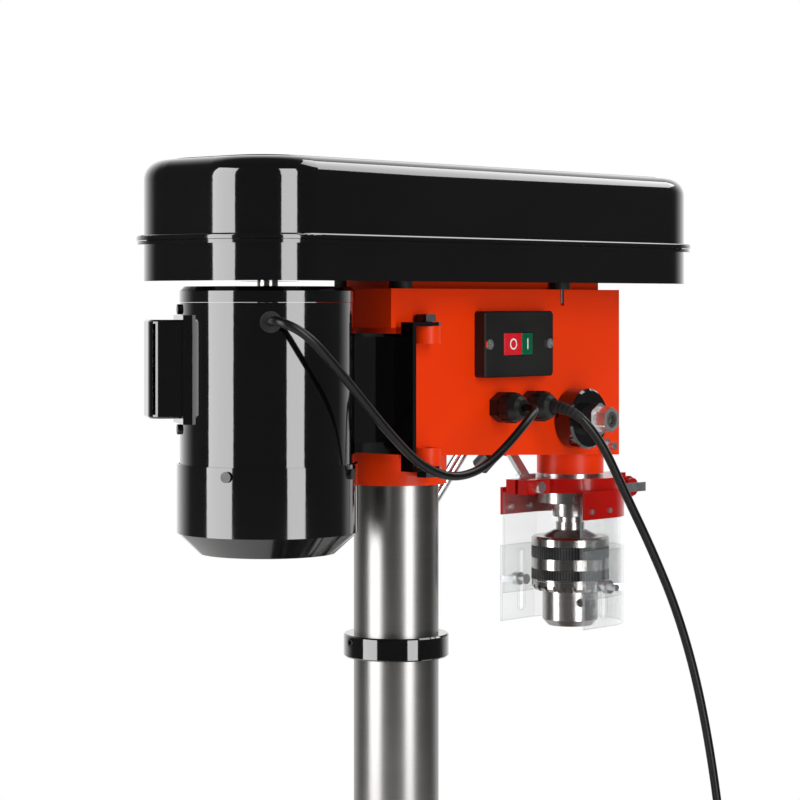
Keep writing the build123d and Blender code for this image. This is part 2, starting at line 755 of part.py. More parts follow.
def feed_rods():
    """Three polished rods."""
    rods = [rod_place(angle) * Pos(0, 0, 12 + rod_length / 2) * Cylinder(rod_r, rod_length) for angle in rod_angles]
    return Compound(children=rods)


def feed_knobs():
    """Three moulded grips on the rods' ends."""
    start = rod_length - 8
    profile = [(rod_r + seat_gap, start), (8, start), (11, start + 9), (13, start + 24), (11, start + 34)]
    profile += [(6, start + 39), (0, start + 40), (0, start + 20.1), (rod_r + seat_gap, start + 20.1)]
    return Compound(children=[rod_place(angle) * turned(profile) for angle in rod_angles])


# ---- switch and cable glands ----
box_depth = 10.0
box_length = 80.0
box_tall = 47.5
button_tall = 16.0
button_shift = 2.5
off_width = 20.4
on_width = 12.4


def switch_box():
    """Moulded switch housing on the left plate; its body reaches inside the head."""
    body = Pos(0, 0, box_depth / 2) * Box(box_tall, box_length, box_depth)
    body = fillet(body.edges().filter_by(Axis.Z), 3)
    body = chamfer(body.faces().sort_by(Axis.Z)[-1].edges(), 1)
    body += Pos(0, 0, -11) * Box(34, 60, 23)
    width = off_width + on_width + 3 * slide_gap
    body -= Pos(0, button_shift, box_depth - 3.9) * Box(button_tall + 2 * slide_gap, width, 8)
    for shift in (36.5, -33.5):
        body -= Pos(0, shift, box_depth) * Cylinder(1.6, 12)
    return on_plate(body, switch_y, switch_z)


def button(width, edge):
    """One push button; edge is its rear side within the opening."""
    cap = Pos(0, edge - width / 2, box_depth - 2.1) * Box(button_tall, width, 5.6)
    cap = fillet(cap.faces().sort_by(Axis.Z)[-1].edges(), 0.8)
    return on_plate(cap, switch_y, switch_z)


def button_edge(first):
    """Rear edge of the first or the second button."""
    rear = button_shift + (off_width + on_width + slide_gap) / 2
    return rear if first else rear - off_width - slide_gap


def switch_screws():
    """Two cross-headed screws."""
    heads = []
    for shift in (36.5, -33.5):
        head = Pos(0, shift, box_depth + 0.9) * Cylinder(3.6, 1.8)
        cross = Pos(0, shift, box_depth + 1.6) * (Box(4.6, 0.9, 1.4) + Box(0.9, 4.6, 1.4))
        shank = Pos(0, shift, box_depth - 2) * Cylinder(1.6 - seat_gap, 5)
        heads.append(on_plate(head - cross + shank, switch_y, switch_z))
    return Compound(children=heads)


gland_length = 24.0


def cable_glands():
    """Two moulded cable glands: hexagon body, domed nut and inside lock nut."""
    pieces = []
    for y in gland_ys:
        dome = turned([(0, 8), (10.5, 8), (10.5, 17), (8.5, 21.5), (6.2, gland_length), (0, gland_length)])
        ribs = [Rot(0, 0, 30 * turn) * Pos(10.6, 0, 12.5) * Box(1.0, 2.6, 8) for turn in range(12)]
        body = hexagon(19, 7) + up(8, 6, 9) + dome + ribs
        body += up(7.5, -9, 1) + Pos(0, 0, -9) * (hexagon(18, 4.6) & up(10, -1, 6))
        pieces.append(on_plate(body, y, gland_z))
    return Compound(children=pieces)


# ---- chuck guard ----
ring_low = head_top - 153.0
hinge_pin_y = spindle_y - 63.0
hinge_pin_z = head_top - 153.5
skirt_low = head_top - 172.0
skirt_high = head_top - 151.0
wing_y = spindle_y + 10.0
wing_z = head_top - 223.0
shield_r = hood_r - hood_wall - 0.3


def guard_collar():
    """Ring clamped to the guide tube, with split ears behind and the hinge lug in front."""
    high = ring_low + guard_ring_height
    body = up(guard_ring_r, ring_low, high, 0, spindle_y)
    body += block(-10, 10, spindle_y + 30, spindle_y + 64, ring_low, high)
    body += block(-8, 8, hinge_pin_y + 4, spindle_y - 30, skirt_high + 0.8, high)
    body += along_x(8.5, -8, 8, hinge_pin_y, hinge_pin_z)
    body -= up(guide_r + seat_gap, ring_low - 1, high + 1, 0, spindle_y)
    body -= block(-1.5, 1.5, spindle_y, spindle_y + 70, ring_low - 1, high + 1)
    body -= along_x(2.5 + seat_gap, -20, 20, spindle_y + 52, ring_low + guard_ring_height / 2)
    return body - along_x(3 + turn_gap, -20, 20, hinge_pin_y, hinge_pin_z)


def guard_clamp_screw():
    """Cap screw and nut through the collar's ears."""
    y, z = spindle_y + 52, ring_low + guard_ring_height / 2
    screw = along_x(2.5, -15, 14, y, z) + along_x(4.4, -15, -10, y, z)
    return screw + lying_x(hexagon(8, 4), 10, y, z)


def guard_stay():
    """Zinc strip from the head's underside to the collar's ears."""
    foot = ring_low + guard_ring_height
    low = head_top - 122.8
    outline = [(spindle_y + 27, foot), (spindle_y + 46, foot), (spindle_y + 46, foot + 2.2)]
    outline += [(spindle_y + 43, foot + 2.2), (spindle_y + 58, low), (spindle_y + 49, low)]
    outline += [(spindle_y + 34, foot + 2.2), (spindle_y + 27, foot + 2.2)]
    return side_prism(outline, 12, 16)


def u_wall(outer, wall, low, high):
    """Upright U-shaped wall round the spindle, open behind."""
    inner = outer - wall
    rear = spindle_y + hood_rear
    shell = up(outer, low, high, 0, spindle_y) + block(-outer, outer, spindle_y, rear, low, high)
    core = up(inner, low - 1, high + 1, 0, spindle_y)
    core += block(-inner, inner, spindle_y, rear + 1, low - 1, high + 1)
    return shell - core - block(-outer, outer, rear, rear + 60, low - 1, high + 1)


def guard_hood():
    """Pressed skirt of the guard with its two hinge ears."""
    body = u_wall(hood_r, hood_wall, skirt_low, skirt_high)
    ears = along_x(7, -12, -8.3, hinge_pin_y, hinge_pin_z) + along_x(7, 8.3, 12, hinge_pin_y, hinge_pin_z)
    for start in (-12, 8.3):
        ears += block(start, start + 3.7, hinge_pin_y, spindle_y - hood_r + 4, skirt_low + 11, skirt_high - 1)
    body += ears - up(hood_r - hood_wall, 0, head_top, 0, spindle_y)
    return body - along_x(3 + turn_gap, -20, 20, hinge_pin_y, hinge_pin_z)


def guard_hinge_pin():
    """Hinge pin with its bright thumb wing."""
    pin = along_x(3, -15, 13.4, hinge_pin_y, hinge_pin_z)
    pin += along_x(5, 12.3, 13.8, hinge_pin_y, hinge_pin_z)
    wing = Pos(-14.6, hinge_pin_y, hinge_pin_z) * Box(1.6, 24, 7)
    return pin + wing


def guard_upper_shield():
    """Clear polycarbonate wall fixed inside the skirt."""
    wall = u_wall(shield_r, shield_wall, head_top - 232, ring_low - 2)
    return wall - along_x(2.5 + seat_gap, -60, 60, wing_y, wing_z)


def guard_rivets():
    """Rivets that hold the upper shield to the skirt."""
    z = skirt_low + 6
    pieces = []
    for side in (-1, 1):
        for y in (spindle_y + 4, spindle_y + 26):
            inner, outer = sorted((side * (shield_r - shield_wall - 1), side * (hood_r + 1.2)))
            pieces.append(along_x(2, inner, outer, y, z))
    return Compound(children=pieces)


def guard_lower_shield():
    """Clear sliding wall with a slot in each side."""
    wall = u_wall(hood_r, shield_wall, head_top - 253.5, head_top - 195.5)
    middle = head_top - 223.5
    for side in (-1, 1):
        slot = Pos(side * hood_r, wing_y, middle) * Rot(0, 90, 0) * extrude(SlotOverall(47, 6.4), 8, both=True)
        wall -= slot
    return wall


def wing_screws():
    """Two screws through the shields, each with its wing nut."""
    pieces = []
    for side in (-1, 1):
        inner = shield_r - shield_wall
        body = lying_x(up(4, 0, 1.8) + up(2.5, 0, 18), side * (inner - 1.8), wing_y, wing_z, side)
        nut = up(5, 0, 5) + Pos(0, 7.5, 6.6) * Rot(35, 0, 0) * Box(5, 10, 2.2)
        nut += Pos(0, -7.5, 6.6) * Rot(-35, 0, 0) * Box(5, 10, 2.2)
        pieces.append(body + lying_x(nut, side * (hood_r + slide_gap), wing_y, wing_z, side))
    return Compound(children=pieces)


# ---- belt cover ----
cover_mid = (spindle_y - cover_front + motor_y + cover_rear) / 2
cover_length = motor_y + cover_rear - spindle_y + cover_front
rim = 5.0
rim_height = 3.6
hinge_axis_x = cover_half + rim + 4.5
hinge_axis_z = tray_top + slide_gap / 2
hinge_ys = (cover_mid - 130, cover_mid + 130)


def cover_plan(grow, low, high):
    """The cover's rounded plan, grown or shrunk, between two heights."""
    plan = RectangleRounded(2 * (cover_half + grow), cover_length + 2 * grow, cover_corner + grow)
    return Pos(0, cover_mid, low) * extrude(plan, high - low)


def belt_tray():
    """Pressed lower half of the cover, bolted on the head."""
    body = cover_plan(0, tray_bottom, tray_top) - cover_plan(-cover_wall, tray_bottom + cover_wall, tray_top + 1)
    body += cover_plan(rim - 0.6, tray_top - 2.4, tray_top) - cover_plan(-cover_wall, tray_top - 3, tray_top + 1)
    body -= up(sleeve_bearing_r + 3, tray_bottom - 1, tray_bottom + 5, 0, spindle_y)
    slot = extrude(SlotOverall(44, 30), 6)
    body -= Pos(-2, motor_y, tray_bottom - 1) * slot
    for x, y in tray_bolts:
        body -= up(2.6, tray_bottom - 1, tray_bottom + 5, x, y)
    return body


def tray_washers():
    """Four rubber washers between the head and the tray."""
    rings = [pipe(7, 2.6 + seat_gap, head_top, tray_bottom, x, y) for x, y in tray_bolts]
    return Compound(children=rings)


def tray_screws():
    """Four hexagon screws through the tray."""
    floor = tray_bottom + cover_wall
    pieces = [up(2.5, head_top - 10, floor + 1, x, y) + Pos(x, y, floor) * hexagon(8, 4) for x, y in tray_bolts]
    return Compound(children=pieces)


def belt_lid():
    """Deep drawn lid with a rolled rim and a raised top panel."""
    low = tray_top + slide_gap
    shell = cover_plan(0, low, lid_top)
    shell = fillet(shell.faces().sort_by(Axis.Z)[-1].edges(), 13)
    inner = cover_plan(-cover_wall, low - 1, lid_top - cover_wall)
    inner = fillet(inner.faces().sort_by(Axis.Z)[-1].edges(), 13 - cover_wall)
    panel = cover_plan(-20, lid_top - 1, lid_top + 1.2)
    panel = fillet(panel.faces().sort_by(Axis.Z)[-1].edges(), 1.1)
    roll = cover_plan(rim, low, low + rim_height)
    roll = fillet(roll.faces().sort_by(Axis.Z)[-1].edges(), 1.5)
    return shell + roll + panel - inner


def hinge_knuckle(y, start, end):
    """Part of a hinge barrel along the cover's side."""
    barrel = along_y(3.2, y + start, y + end, hinge_axis_x, hinge_axis_z)
    return barrel


def tray_hinges():
    """Leaves, outer knuckles and pins fixed to the tray."""
    pieces = []
    for y in hinge_ys:
        leaf = block(cover_half, cover_half + 1.4, y - 20, y + 20, tray_top - 18, tray_top - 3)
        arm = block(cover_half, hinge_axis_x + 1, y - 20, y - 10.3, tray_top - 4.6, tray_top - 2.7)
        arm += block(cover_half, hinge_axis_x + 1, y + 10.3, y + 20, tray_top - 4.6, tray_top - 2.7)
        ends = hinge_knuckle(y, -20, -10.3) + hinge_knuckle(y, 10.3, 20)
        pin = along_y(1.5, y - 21, y + 21, hinge_axis_x, hinge_axis_z)
        pieces.append(leaf + arm + ends + pin)
    return Compound(children=pieces)


def lid_hinges():
    """Leaves and middle knuckles fixed to the lid."""
    pieces = []
    low = tray_top + slide_gap + rim_height
    for y in hinge_ys:
        leaf = block(cover_half, cover_half + 1.4, y - 10, y + 10, low, low + 15)
        arm = block(cover_half, hinge_axis_x, y - 10, y + 10, low, low + 1.6)
        arm += block(hinge_axis_x - 1, hinge_axis_x + 1, y - 10, y + 10, hinge_axis_z + 2, low + 1.6)
        middle = hinge_knuckle(y, -10, 10)
        middle -= along_y(1.5 + turn_gap, y - 22, y + 22, hinge_axis_x, hinge_axis_z)
        pieces.append(leaf + arm + middle)
    return Compound(children=pieces)


def lid_knob():
    """Grip on the lid's front edge."""
    knob = turned([(0, 0), (4, 0), (4, 5), (9, 8), (10, 12), (9, 16), (5, 18), (0, 18)])
    return lying_y(knob, 0, spindle_y - cover_front, tray_top + 24, -1)


# ---- belt drive ----
def pulley(radii, bore, x, y):
    """Stepped V pulley; radii go from the bottom step up."""
    profile = [(bore, pulley_bottom)]
    for step, radius in enumerate(radii):
        low = pulley_bottom + step * step_height
        profile += [(radius, low), (radius, low + 2), (radius - 6.5, low + 4.2)]
        profile += [(radius - 6.5, low + 9.8), (radius, low + 12), (radius, low + step_height)]
    profile += [(bore, pulley_bottom + len(radii) * step_height)]
    return turned(profile, x, y)


def spindle_pulley():
    """Stepped pulley on the drive sleeve."""
    return pulley(step_radii, drive_sleeve_r + seat_gap, 0, spindle_y)


def motor_pulley():
    """Stepped pulley on the motor's shaft."""
    return pulley(step_radii[::-1], motor_shaft_r + seat_gap, 0, motor_y)


def drive_sleeve():
    """Splined sleeve that turns the spindle and lets it slide."""
    top = pulley_bottom + 4 * step_height
    body = up(drive_sleeve_r, head_top - 14.6, top + 5, 0, spindle_y)
    body += up(drive_sleeve_r + 3, tray_bottom + 0.3, pulley_bottom, 0, spindle_y)
    body += Pos(0, spindle_y, top) * (hexagon(30, 5) & up(17, -1, 6))
    return body - up(spindle_r + turn_gap, head_top - 20, top + 9, 0, spindle_y)


def sleeve_bearings():
    """Two ball bearings of the drive sleeve in the head's top."""
    lows = (head_top - 14.7, head_top - 6.5)
    inner = drive_sleeve_r + turn_gap
    return Compound(children=[bearing(sleeve_bearing_r, inner, low, 0, spindle_y) for low in lows])


def belt_area(at_spindle, at_motor):
    """Area inside an open belt line round both pulleys."""
    span = motor_y - spindle_y
    tilt = asin((at_spindle - at_motor) / span)
    corners = []
    for side, y, radius in ((1, spindle_y, at_spindle), (1, motor_y, at_motor)):
        corners.append((side * radius * cos(tilt), y + radius * sin(tilt)))
    corners += [(-x, y) for x, y in reversed(corners)]
    area = Pos(0, spindle_y) * Circle(at_spindle) + Pos(0, motor_y) * Circle(at_motor)
    return area + Polygon(*corners, align=None)


def v_belt():
    """Endless V belt, its section stepped from the back to the narrow face."""
    at_spindle = step_radii[belt_step]
    at_motor = step_radii[::-1][belt_step]
    middle = pulley_bottom + belt_step * step_height + step_height / 2
    outer = belt_area(at_spindle + 1.5, at_motor + 1.5)
    neck = belt_area(at_spindle - 1.7, at_motor - 1.7)
    inner = belt_area(at_spindle - 5, at_motor - 5)
    back = Pos(0, 0, middle - 4.2) * extrude(outer - neck, 8.4)
    nose = Pos(0, 0, middle - 3) * extrude(outer - inner, 6)
    return back + nose


# ---- motor ----
capacitor_angle = 56.0
grommet_angle = 137.7
grommet_z = head_top - 22.3
fan_low = motor_skirt - fan_cover_height
web_y = head_rear - 7.5
web = 3.5


def by_motor(shape, angle):
    """Shape drawn with +X outward, turned round the motor's axis."""
    return Pos(0, motor_y, 0) * Rot(0, 0, angle) * shape


def motor_body():
    """Motor frame with its wound core and the mounting pad."""
    body = up(motor_r, motor_skirt - 6, motor_seam - 0.2, 0, motor_y)
    body += block(-35, 35, web_y + web, motor_y - 40, head_top - 105, head_top - 33)
    body -= up(rotor_r + 0.5, motor_skirt + 18, motor_seam - 12, 0, motor_y)
    body -= up(motor_shaft_r + turn_gap, motor_skirt - 10, head_top, 0, motor_y)
    for x, z in motor_bolt_places():
        body -= along_y(3 + seat_gap, web_y, web_y + 22, x, z)
    return body - by_motor(along_x(4.5 + seat_gap, motor_r - 8, motor_r + 9, 0, grommet_z), grommet_angle)


def motor_bolt_places():
    """The four bolts between the bracket and the motor's pad."""
    return [(x, head_top - 69 + z) for x in (-24, 20) for z in (-26, 26)]


def motor_top_cap():
    """Spun end cap that carries the upper bearing."""
    profile = [(motor_shaft_r + turn_gap, motor_seam), (motor_r + 0.2, motor_seam)]
    profile += [(motor_r + 0.2, motor_top - 3), (motor_r - 2.8, motor_top), (24, motor_top), (22, motor_top - 1.5)]
    profile += [(motor_shaft_r + turn_gap, motor_top - 1.5)]
    return turned(profile, 0, motor_y)


def motor_fan_cover():
    """Pressed cover round the cooling fan, with slots in its floor."""
    wall = 1.5
    outer = [(0, fan_low), (46, fan_low), (fan_cover_r, fan_low + 14), (fan_cover_r, motor_skirt)]
    inner_r = fan_cover_r - wall
    profile = outer + [(inner_r, motor_skirt), (inner_r, fan_low + 14.6), (45.4, fan_low + wall), (0, fan_low + wall)]
    body = turned(profile, 0, motor_y)
    for turn in range(16):
        slot = Pos(28, 0, fan_low - 1) * extrude(SlotOverall(26, 4.2), 4)
        body -= by_motor(slot, 22.5 * turn)
    return body


def motor_screws():
    """Screws that hold the fan cover, round its upper edge."""
    heads = []
    for turn in range(4):
        shank = along_x(2, motor_r - 6, fan_cover_r + 0.5, 0, motor_skirt - 3)
        head = along_x(3.6, fan_cover_r, fan_cover_r + 2, 0, motor_skirt - 6)
        heads.append(by_motor(head + Pos(0, 0, -3) * shank, 90 * turn + 20))
    return Compound(children=heads)


def motor_rotor():
    """Rotor on its shaft."""
    top = pulley_bottom + 4 * step_height + 2
    shaft = up(motor_shaft_r, fan_low + 8, top, 0, motor_y)
    return shaft + up(rotor_r, motor_skirt + 22, motor_seam - 16, 0, motor_y)


def motor_fan():
    """Moulded cooling fan."""
    low = fan_low + 12
    hub = up(14, low, low + 24, 0, motor_y) + up(46, low + 20, low + 23, 0, motor_y)
    blades = [by_motor(block(12, 46, -1, 1, low + 4, low + 21), 40 * turn) for turn in range(9)]
    return hub + blades - up(motor_shaft_r + seat_gap, low - 1, low + 30, 0, motor_y)


def capacitor_box():
    """Rounded cover of the start capacitor on the motor's side."""
    low, high = head_top - 86.0, head_top - 21.0
    outer = motor_r + 23.0
    body = block(motor_r - 10, outer, -20, 20, low, high)
    body = fillet(body.edges().filter_by(Axis.Z).sort_by(Axis.X)[-2:], 11)
    body = chamfer(body.faces().sort_by(Axis.Z)[-1].edges() + body.faces().sort_by(Axis.Z)[0].edges(), 1.2)
    body += block(motor_r - 10, motor_r + 1.5, -22, 22, low - 4, high + 3)
    body -= block(0, outer - 2.5, -17.5, 17.5, low + 2.5, high - 2.5)
    return by_motor(body - up(motor_r + seat_gap, 0, head_top), capacitor_angle)


def capacitor():
    """Start capacitor inside its box."""
    return by_motor(up(9, head_top - 80, head_top - 28, motor_r + 9.3, 0), capacitor_angle)


def capacitor_screws():
    """Screws above and below the capacitor's cover."""
    heads = []
    for z in (head_top - 94.0, head_top - 14.2):
        heads.append(by_motor(along_x(3.4, motor_r - 0.3, motor_r + 2.2, 0, z), capacitor_angle))
    return Compound(children=heads)


def cable_grommet():
    """Rubber bush where the motor's cable comes out."""
    body = along_x(4.5, motor_r - 7, motor_r + 4.3, 0, grommet_z)
    body += along_x(7, motor_r + 0.2, motor_r + 3.2, 0, grommet_z)
    return by_motor(body, grommet_angle)


def motor_bracket():
    """Swinging bracket: web across the motor's pad, with lugs on the hinge bolts."""
    body = block(hinge_x - 10, 30, web_y, web_y + web, head_low + 3, head_top - 31)
    body += block(hinge_x - 10, hinge_x + 1, web_y, web_y + web, hinge_low - lug - slide_gap, hinge_top + lug)
    for low in (hinge_top + slide_gap, hinge_low - lug - slide_gap):
        tab = up(hinge_boss_r, low, low + lug, hinge_x, hinge_y)
        tab += block(hinge_x - 10, hinge_x + 1, hinge_y, web_y + web, low, low + lug)
        body += tab - up(4 + turn_gap, low - 1, low + 9, hinge_x, hinge_y)
    body -= up(column_r + socket_wall + 1, 0, head_low)
    body -= block(-half_at(hinge_y) - 0.8, 40, -30, head_back_plate + 8, head_low, head_top)
    for x, z in motor_bolt_places():
        body -= along_y(3 + seat_gap, web_y - 5, web_y + 6, x, z)
    return body


def hinge_bolts():
    """Two bolts in the head's bosses, on which the bracket swings."""
    turn = Rot(0, 0, degrees(atan2(hinge_y, hinge_x)))
    high = hinge_top + 2 * slide_gap + lug
    low = hinge_low - 2 * slide_gap - lug
    top = up(4, hinge_top - 11, high + 1) + Pos(0, 0, high) * turn * Rot(0, 0, 30) * hexagon(13, 5)
    foot = up(4, low - 1, hinge_low + 11) + Pos(0, 0, low - 4.6) * turn * Rot(0, 0, 30) * hexagon(13, 4.6)
    return Compound(children=[Pos(hinge_x, hinge_y, 0) * top, Pos(hinge_x, hinge_y, 0) * foot])


def motor_bolts():
    """Four hexagon bolts that hold the motor to the bracket."""
    pieces = []
    for x, z in motor_bolt_places():
        head = lying_y(hexagon(8, 2.4), x, web_y, z, -1)
        pieces.append(head + along_y(3, web_y - 1, web_y + 20, x, z))
    return Compound(children=pieces)


# ---- cables ----
cable_r = 3.0
cord_r = 3.25
coil_mid_r = 36.0
coil_x = -172.0
coil_y = -130.0
plug_r = 16.0


def gland_tip(y):
    """Outer end of a gland, where its cable starts."""
    angle = radians(plate_angle())
    reach = half_at(y)
    return (-reach - gland_length * cos(angle), y - gland_length * sin(angle), gland_z)


def grommet_tip():
    """Outer end of the motor's grommet."""
    angle = radians(grommet_angle)
    reach = motor_r + 4.8
    return (reach * cos(angle), motor_y + reach * sin(angle), grommet_z)


def swept_cord(points, radius, label):
    """Round tube along straight runs joined by tangent arcs."""
    vectors = [Vector(*point) for point in points]
    radii = []
    for before, at, after in zip(vectors, vectors[1:], vectors[2:]):
        run_in, run_out = at - before, after - at
        half_turn = radians(run_in.get_angle(run_out)) / 2
        radii.append(0.45 * min(run_in.length, run_out.length) / tan(half_turn))
    path = FilletPolyline(*vectors, radius=radii)
    print(label, "length", round(path.length, 1), "tightest", round(min(radii), 1))
    section = Plane(origin=path @ 0, z_dir=path % 0) * Circle(radius)
    tube = sweep(section, path=path)
    print(label, "volume over section times length", round(tube.volume / (pi * radius ** 2 * path.length), 4))
    return tube


def motor_cable():
    """Cable from the motor's grommet, sagging forward to the rear gland."""
    points = [grommet_tip(), (-63, 183, 735), (-78, 169, 726), (-80, 146, 706), (-79, 119, 683)]
    points += [(-78, 91, 659), (-78, 62, 637), (-79, 31, 626), (-80, 1, 630), (-79, -27, 645)]
    points += [(-77, -55, 664), (-69, -73.5, 671), gland_tip(gland_ys[0])]
    return swept_cord(points, cable_r, "motor cable")


def mains_cord():
    """Mains lead from the front gland, hanging to the bench beside the base."""
    points = [gland_tip(gland_ys[1]), (-72, -109.6, 669), (-83, -128, 646), (-88, -150, 607), (-94, -174, 565)]
    points += [(-100, -196, 520), (-106, -212, 470), (-113, -222, 410), (-119, -229, 340), (-124, -233, 262)]
    points += [(-128, -233, 182), (-132, -228, 108), (-138, -218, 52), (-150, -204, 18), (-170, -190, 3.6)]
    points += [(-192, -178, 3.3), (-206, -156, cord_r), (coil_x - coil_mid_r, coil_y, cord_r)]
    return swept_cord(points, cord_r, "mains cord")


def mains_coil():
    """Outer shape of the put-away turns."""
    return pipe(coil_mid_r + 2 * cord_r, coil_mid_r - 2 * cord_r, 0, 4 * cord_r, coil_x, coil_y)


def plug_place():
    """Placement of the plug: its +Z leaves the cord's end."""
    return Pos(coil_x + coil_mid_r, coil_y + 20, plug_r) * Rot(-90, 0, 0)


def mains_plug():
    """Moulded two-pin plug lying beside the coil, its boot on the last turn."""
    body = turned([(0, 0), (5.5, 0), (6.5, 26), (12, 32), (plug_r, 38), (plug_r, 58), (0, 58)])
    pins = up(2.4, 57, 77, 9.5, 0) + up(2.4, 57, 77, -9.5, 0)
    return plug_place() * (body + pins)


# ---- nodes ----
def group(*shapes):
    """Several separate solids written as one node."""
    return Compound(children=[solid for shape in shapes for solid in shape.solids()])


nodes = {
    "base_plate": base_plate,
    "column_flange": column_flange,
    "column": column,
    "rack": rack,
    "rack_collar": rack_collar,
    "fixed_bolts": lambda: group(flange_bolts(), collar_set_screw(), hinge_bolts(), tray_screws()),
    "table_bracket": table_bracket,
    "lift_crank": lambda: group(lift_pinion(), lift_crank(), crank_knob()),
    "table_lock": table_lock,
    "work_table": work_table,
    "tilt_bolt": tilt_bolt,
    "head_housing": head_housing,
    "quill_guide_tube": quill_guide_tube,
    "head_screws": lambda: group(quill_guide_screw(), guard_clamp_screw(), switch_screws()),
    "quill": lambda: group(quill(), quill_bearings()),
    "spindle": spindle,
    "chuck_body": chuck_body,
    "chuck_sleeve": chuck_sleeve,
    "feed_pinion_shaft": feed_pinion_shaft,
    "spring_cap": spring_cap,
    "return_spring": return_spring,
    "spring_nuts": lambda: group(spring_nut(), chrome_nut()),
    "depth_ring": lambda: group(depth_ring(), depth_lock_knob()),
    "feed_hub": feed_hub,
    "feed_rods": feed_rods,
    "feed_knobs": feed_knobs,
    "switch_box": switch_box,
    "button_off": lambda: button(off_width, button_edge(True)),
    "button_on": lambda: button(on_width, button_edge(False)),
    "cable_glands": cable_glands,
    "guard_collar": guard_collar,
    "guard_stay": guard_stay,
    "guard_hood": guard_hood,
    "guard_upper_shield": guard_upper_shield,
    "guard_lower_shield": guard_lower_shield,
    "guard_fasteners": lambda: group(guard_hinge_pin(), guard_rivets(), wing_screws()),
    "belt_tray": belt_tray,
    "tray_washers": tray_washers,
    "tray_hinges": tray_hinges,
    "belt_lid": belt_lid,
    "lid_fittings": lambda: group(lid_hinges(), lid_knob()),
    "spindle_pulley": spindle_pulley,
    "drive_sleeve": drive_sleeve,
    "sleeve_bearings": sleeve_bearings,
    "motor_pulley": motor_pulley,
    "v_belt": v_belt,
    "motor_body": lambda: group(motor_body(), motor_top_cap()),
    "motor_fan_cover": motor_fan_cover,
    "motor_fasteners": lambda: group(motor_screws(), capacitor_screws(), motor_bolts()),
    "motor_rotor": lambda: group(motor_rotor(), motor_fan()),
    "capacitor_box": lambda: group(capacitor_box(), capacitor()),
    "cable_grommet": cable_grommet,
    "motor_bracket": motor_bracket,
    "motor_cable": motor_cable,
    "mains_cord": mains_cord,
    "mains_coil": mains_coil,
    "mains_plug": mains_plug,
}

os.makedirs("parts", exist_ok=True)
for name, build in nodes.items():
    save(name, build())
for turn in range(3):
    save("chuck_jaw_" + str(turn + 1), chuck_jaw(turn))
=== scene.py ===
# %% [markdown]
# # Bench drill press
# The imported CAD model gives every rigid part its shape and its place. This script adds the finishes,
# the two cables, the marks on the switch, the strap on the lead, the studio and the camera.

# %%
import math

import bmesh
import bpy
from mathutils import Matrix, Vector


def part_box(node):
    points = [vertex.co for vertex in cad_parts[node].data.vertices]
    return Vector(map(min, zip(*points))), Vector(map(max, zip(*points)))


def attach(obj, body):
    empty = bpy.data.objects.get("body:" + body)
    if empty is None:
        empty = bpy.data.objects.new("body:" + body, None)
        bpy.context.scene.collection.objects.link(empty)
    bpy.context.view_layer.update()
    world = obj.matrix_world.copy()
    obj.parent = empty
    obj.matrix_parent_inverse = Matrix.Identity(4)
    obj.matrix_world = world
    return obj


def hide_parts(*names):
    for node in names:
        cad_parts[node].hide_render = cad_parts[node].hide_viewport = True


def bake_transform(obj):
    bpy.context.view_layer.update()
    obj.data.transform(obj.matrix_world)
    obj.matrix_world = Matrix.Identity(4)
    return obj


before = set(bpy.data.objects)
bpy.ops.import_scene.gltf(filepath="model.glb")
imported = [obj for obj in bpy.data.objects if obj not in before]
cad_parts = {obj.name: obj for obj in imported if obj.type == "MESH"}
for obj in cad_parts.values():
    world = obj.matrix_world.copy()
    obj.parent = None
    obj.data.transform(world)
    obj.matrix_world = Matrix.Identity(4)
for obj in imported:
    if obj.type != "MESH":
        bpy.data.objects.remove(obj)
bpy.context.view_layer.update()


# %% [markdown]
# ## Putting things in the scene
# Blender keeps a mesh, a light or a curve apart from the object that shows it. Two helpers join them.

# %%
def in_scene(name, data):
    """A new object with this data, placed in the scene."""
    thing = bpy.data.objects.new(name, data)
    bpy.context.scene.collection.objects.link(thing)
    return thing


def from_bmesh(name, mesh):
    """A new object in the scene from a finished bmesh."""
    data = bpy.data.meshes.new(name)
    mesh.to_mesh(data)
    mesh.free()
    return in_scene(name, data)


# %% [markdown]
# ## Shader arithmetic
# `Wire` wraps one output socket. Arithmetic on wires adds Math nodes, so a material reads as a formula.

# %%
class Wire:
    """One number running through a material's nodes."""

    def __init__(self, paint, socket):
        self.paint = paint
        self.socket = socket

    def _math(self, operation, first, second=None):
        node = self.paint.add("ShaderNodeMath", operation=operation)
        self.paint.feed(node.inputs[0], first)
        if second is not None:
            self.paint.feed(node.inputs[1], second)
        return Wire(self.paint, node.outputs[0])

    def __add__(self, other):
        return self._math("ADD", self, other)

    def __radd__(self, other):
        return self._math("ADD", other, self)

    def __sub__(self, other):
        return self._math("SUBTRACT", self, other)

    def __rsub__(self, other):
        return self._math("SUBTRACT", other, self)

    def __mul__(self, other):
        return self._math("MULTIPLY", self, other)

    def __rmul__(self, other):
        return self._math("MULTIPLY", other, self)

    def __pow__(self, other):
        return self._math("POWER", self, other)

    def __gt__(self, other):
        return self._math("GREATER_THAN", self, other)

    def __lt__(self, other):
        return self._math("LESS_THAN", self, other)

    def wave(self):
        return self._math("SINE", self)

    def ramp(self, low, high):
        """0 below low, 1 above high, smooth between."""
        node = self.paint.add("ShaderNodeMapRange", interpolation_type="SMOOTHSTEP")
        self.paint.feed(node.inputs["Value"], self)
        node.inputs["From Min"].default_value = low
        node.inputs["From Max"].default_value = high
        return Wire(self.paint, node.outputs["Result"])


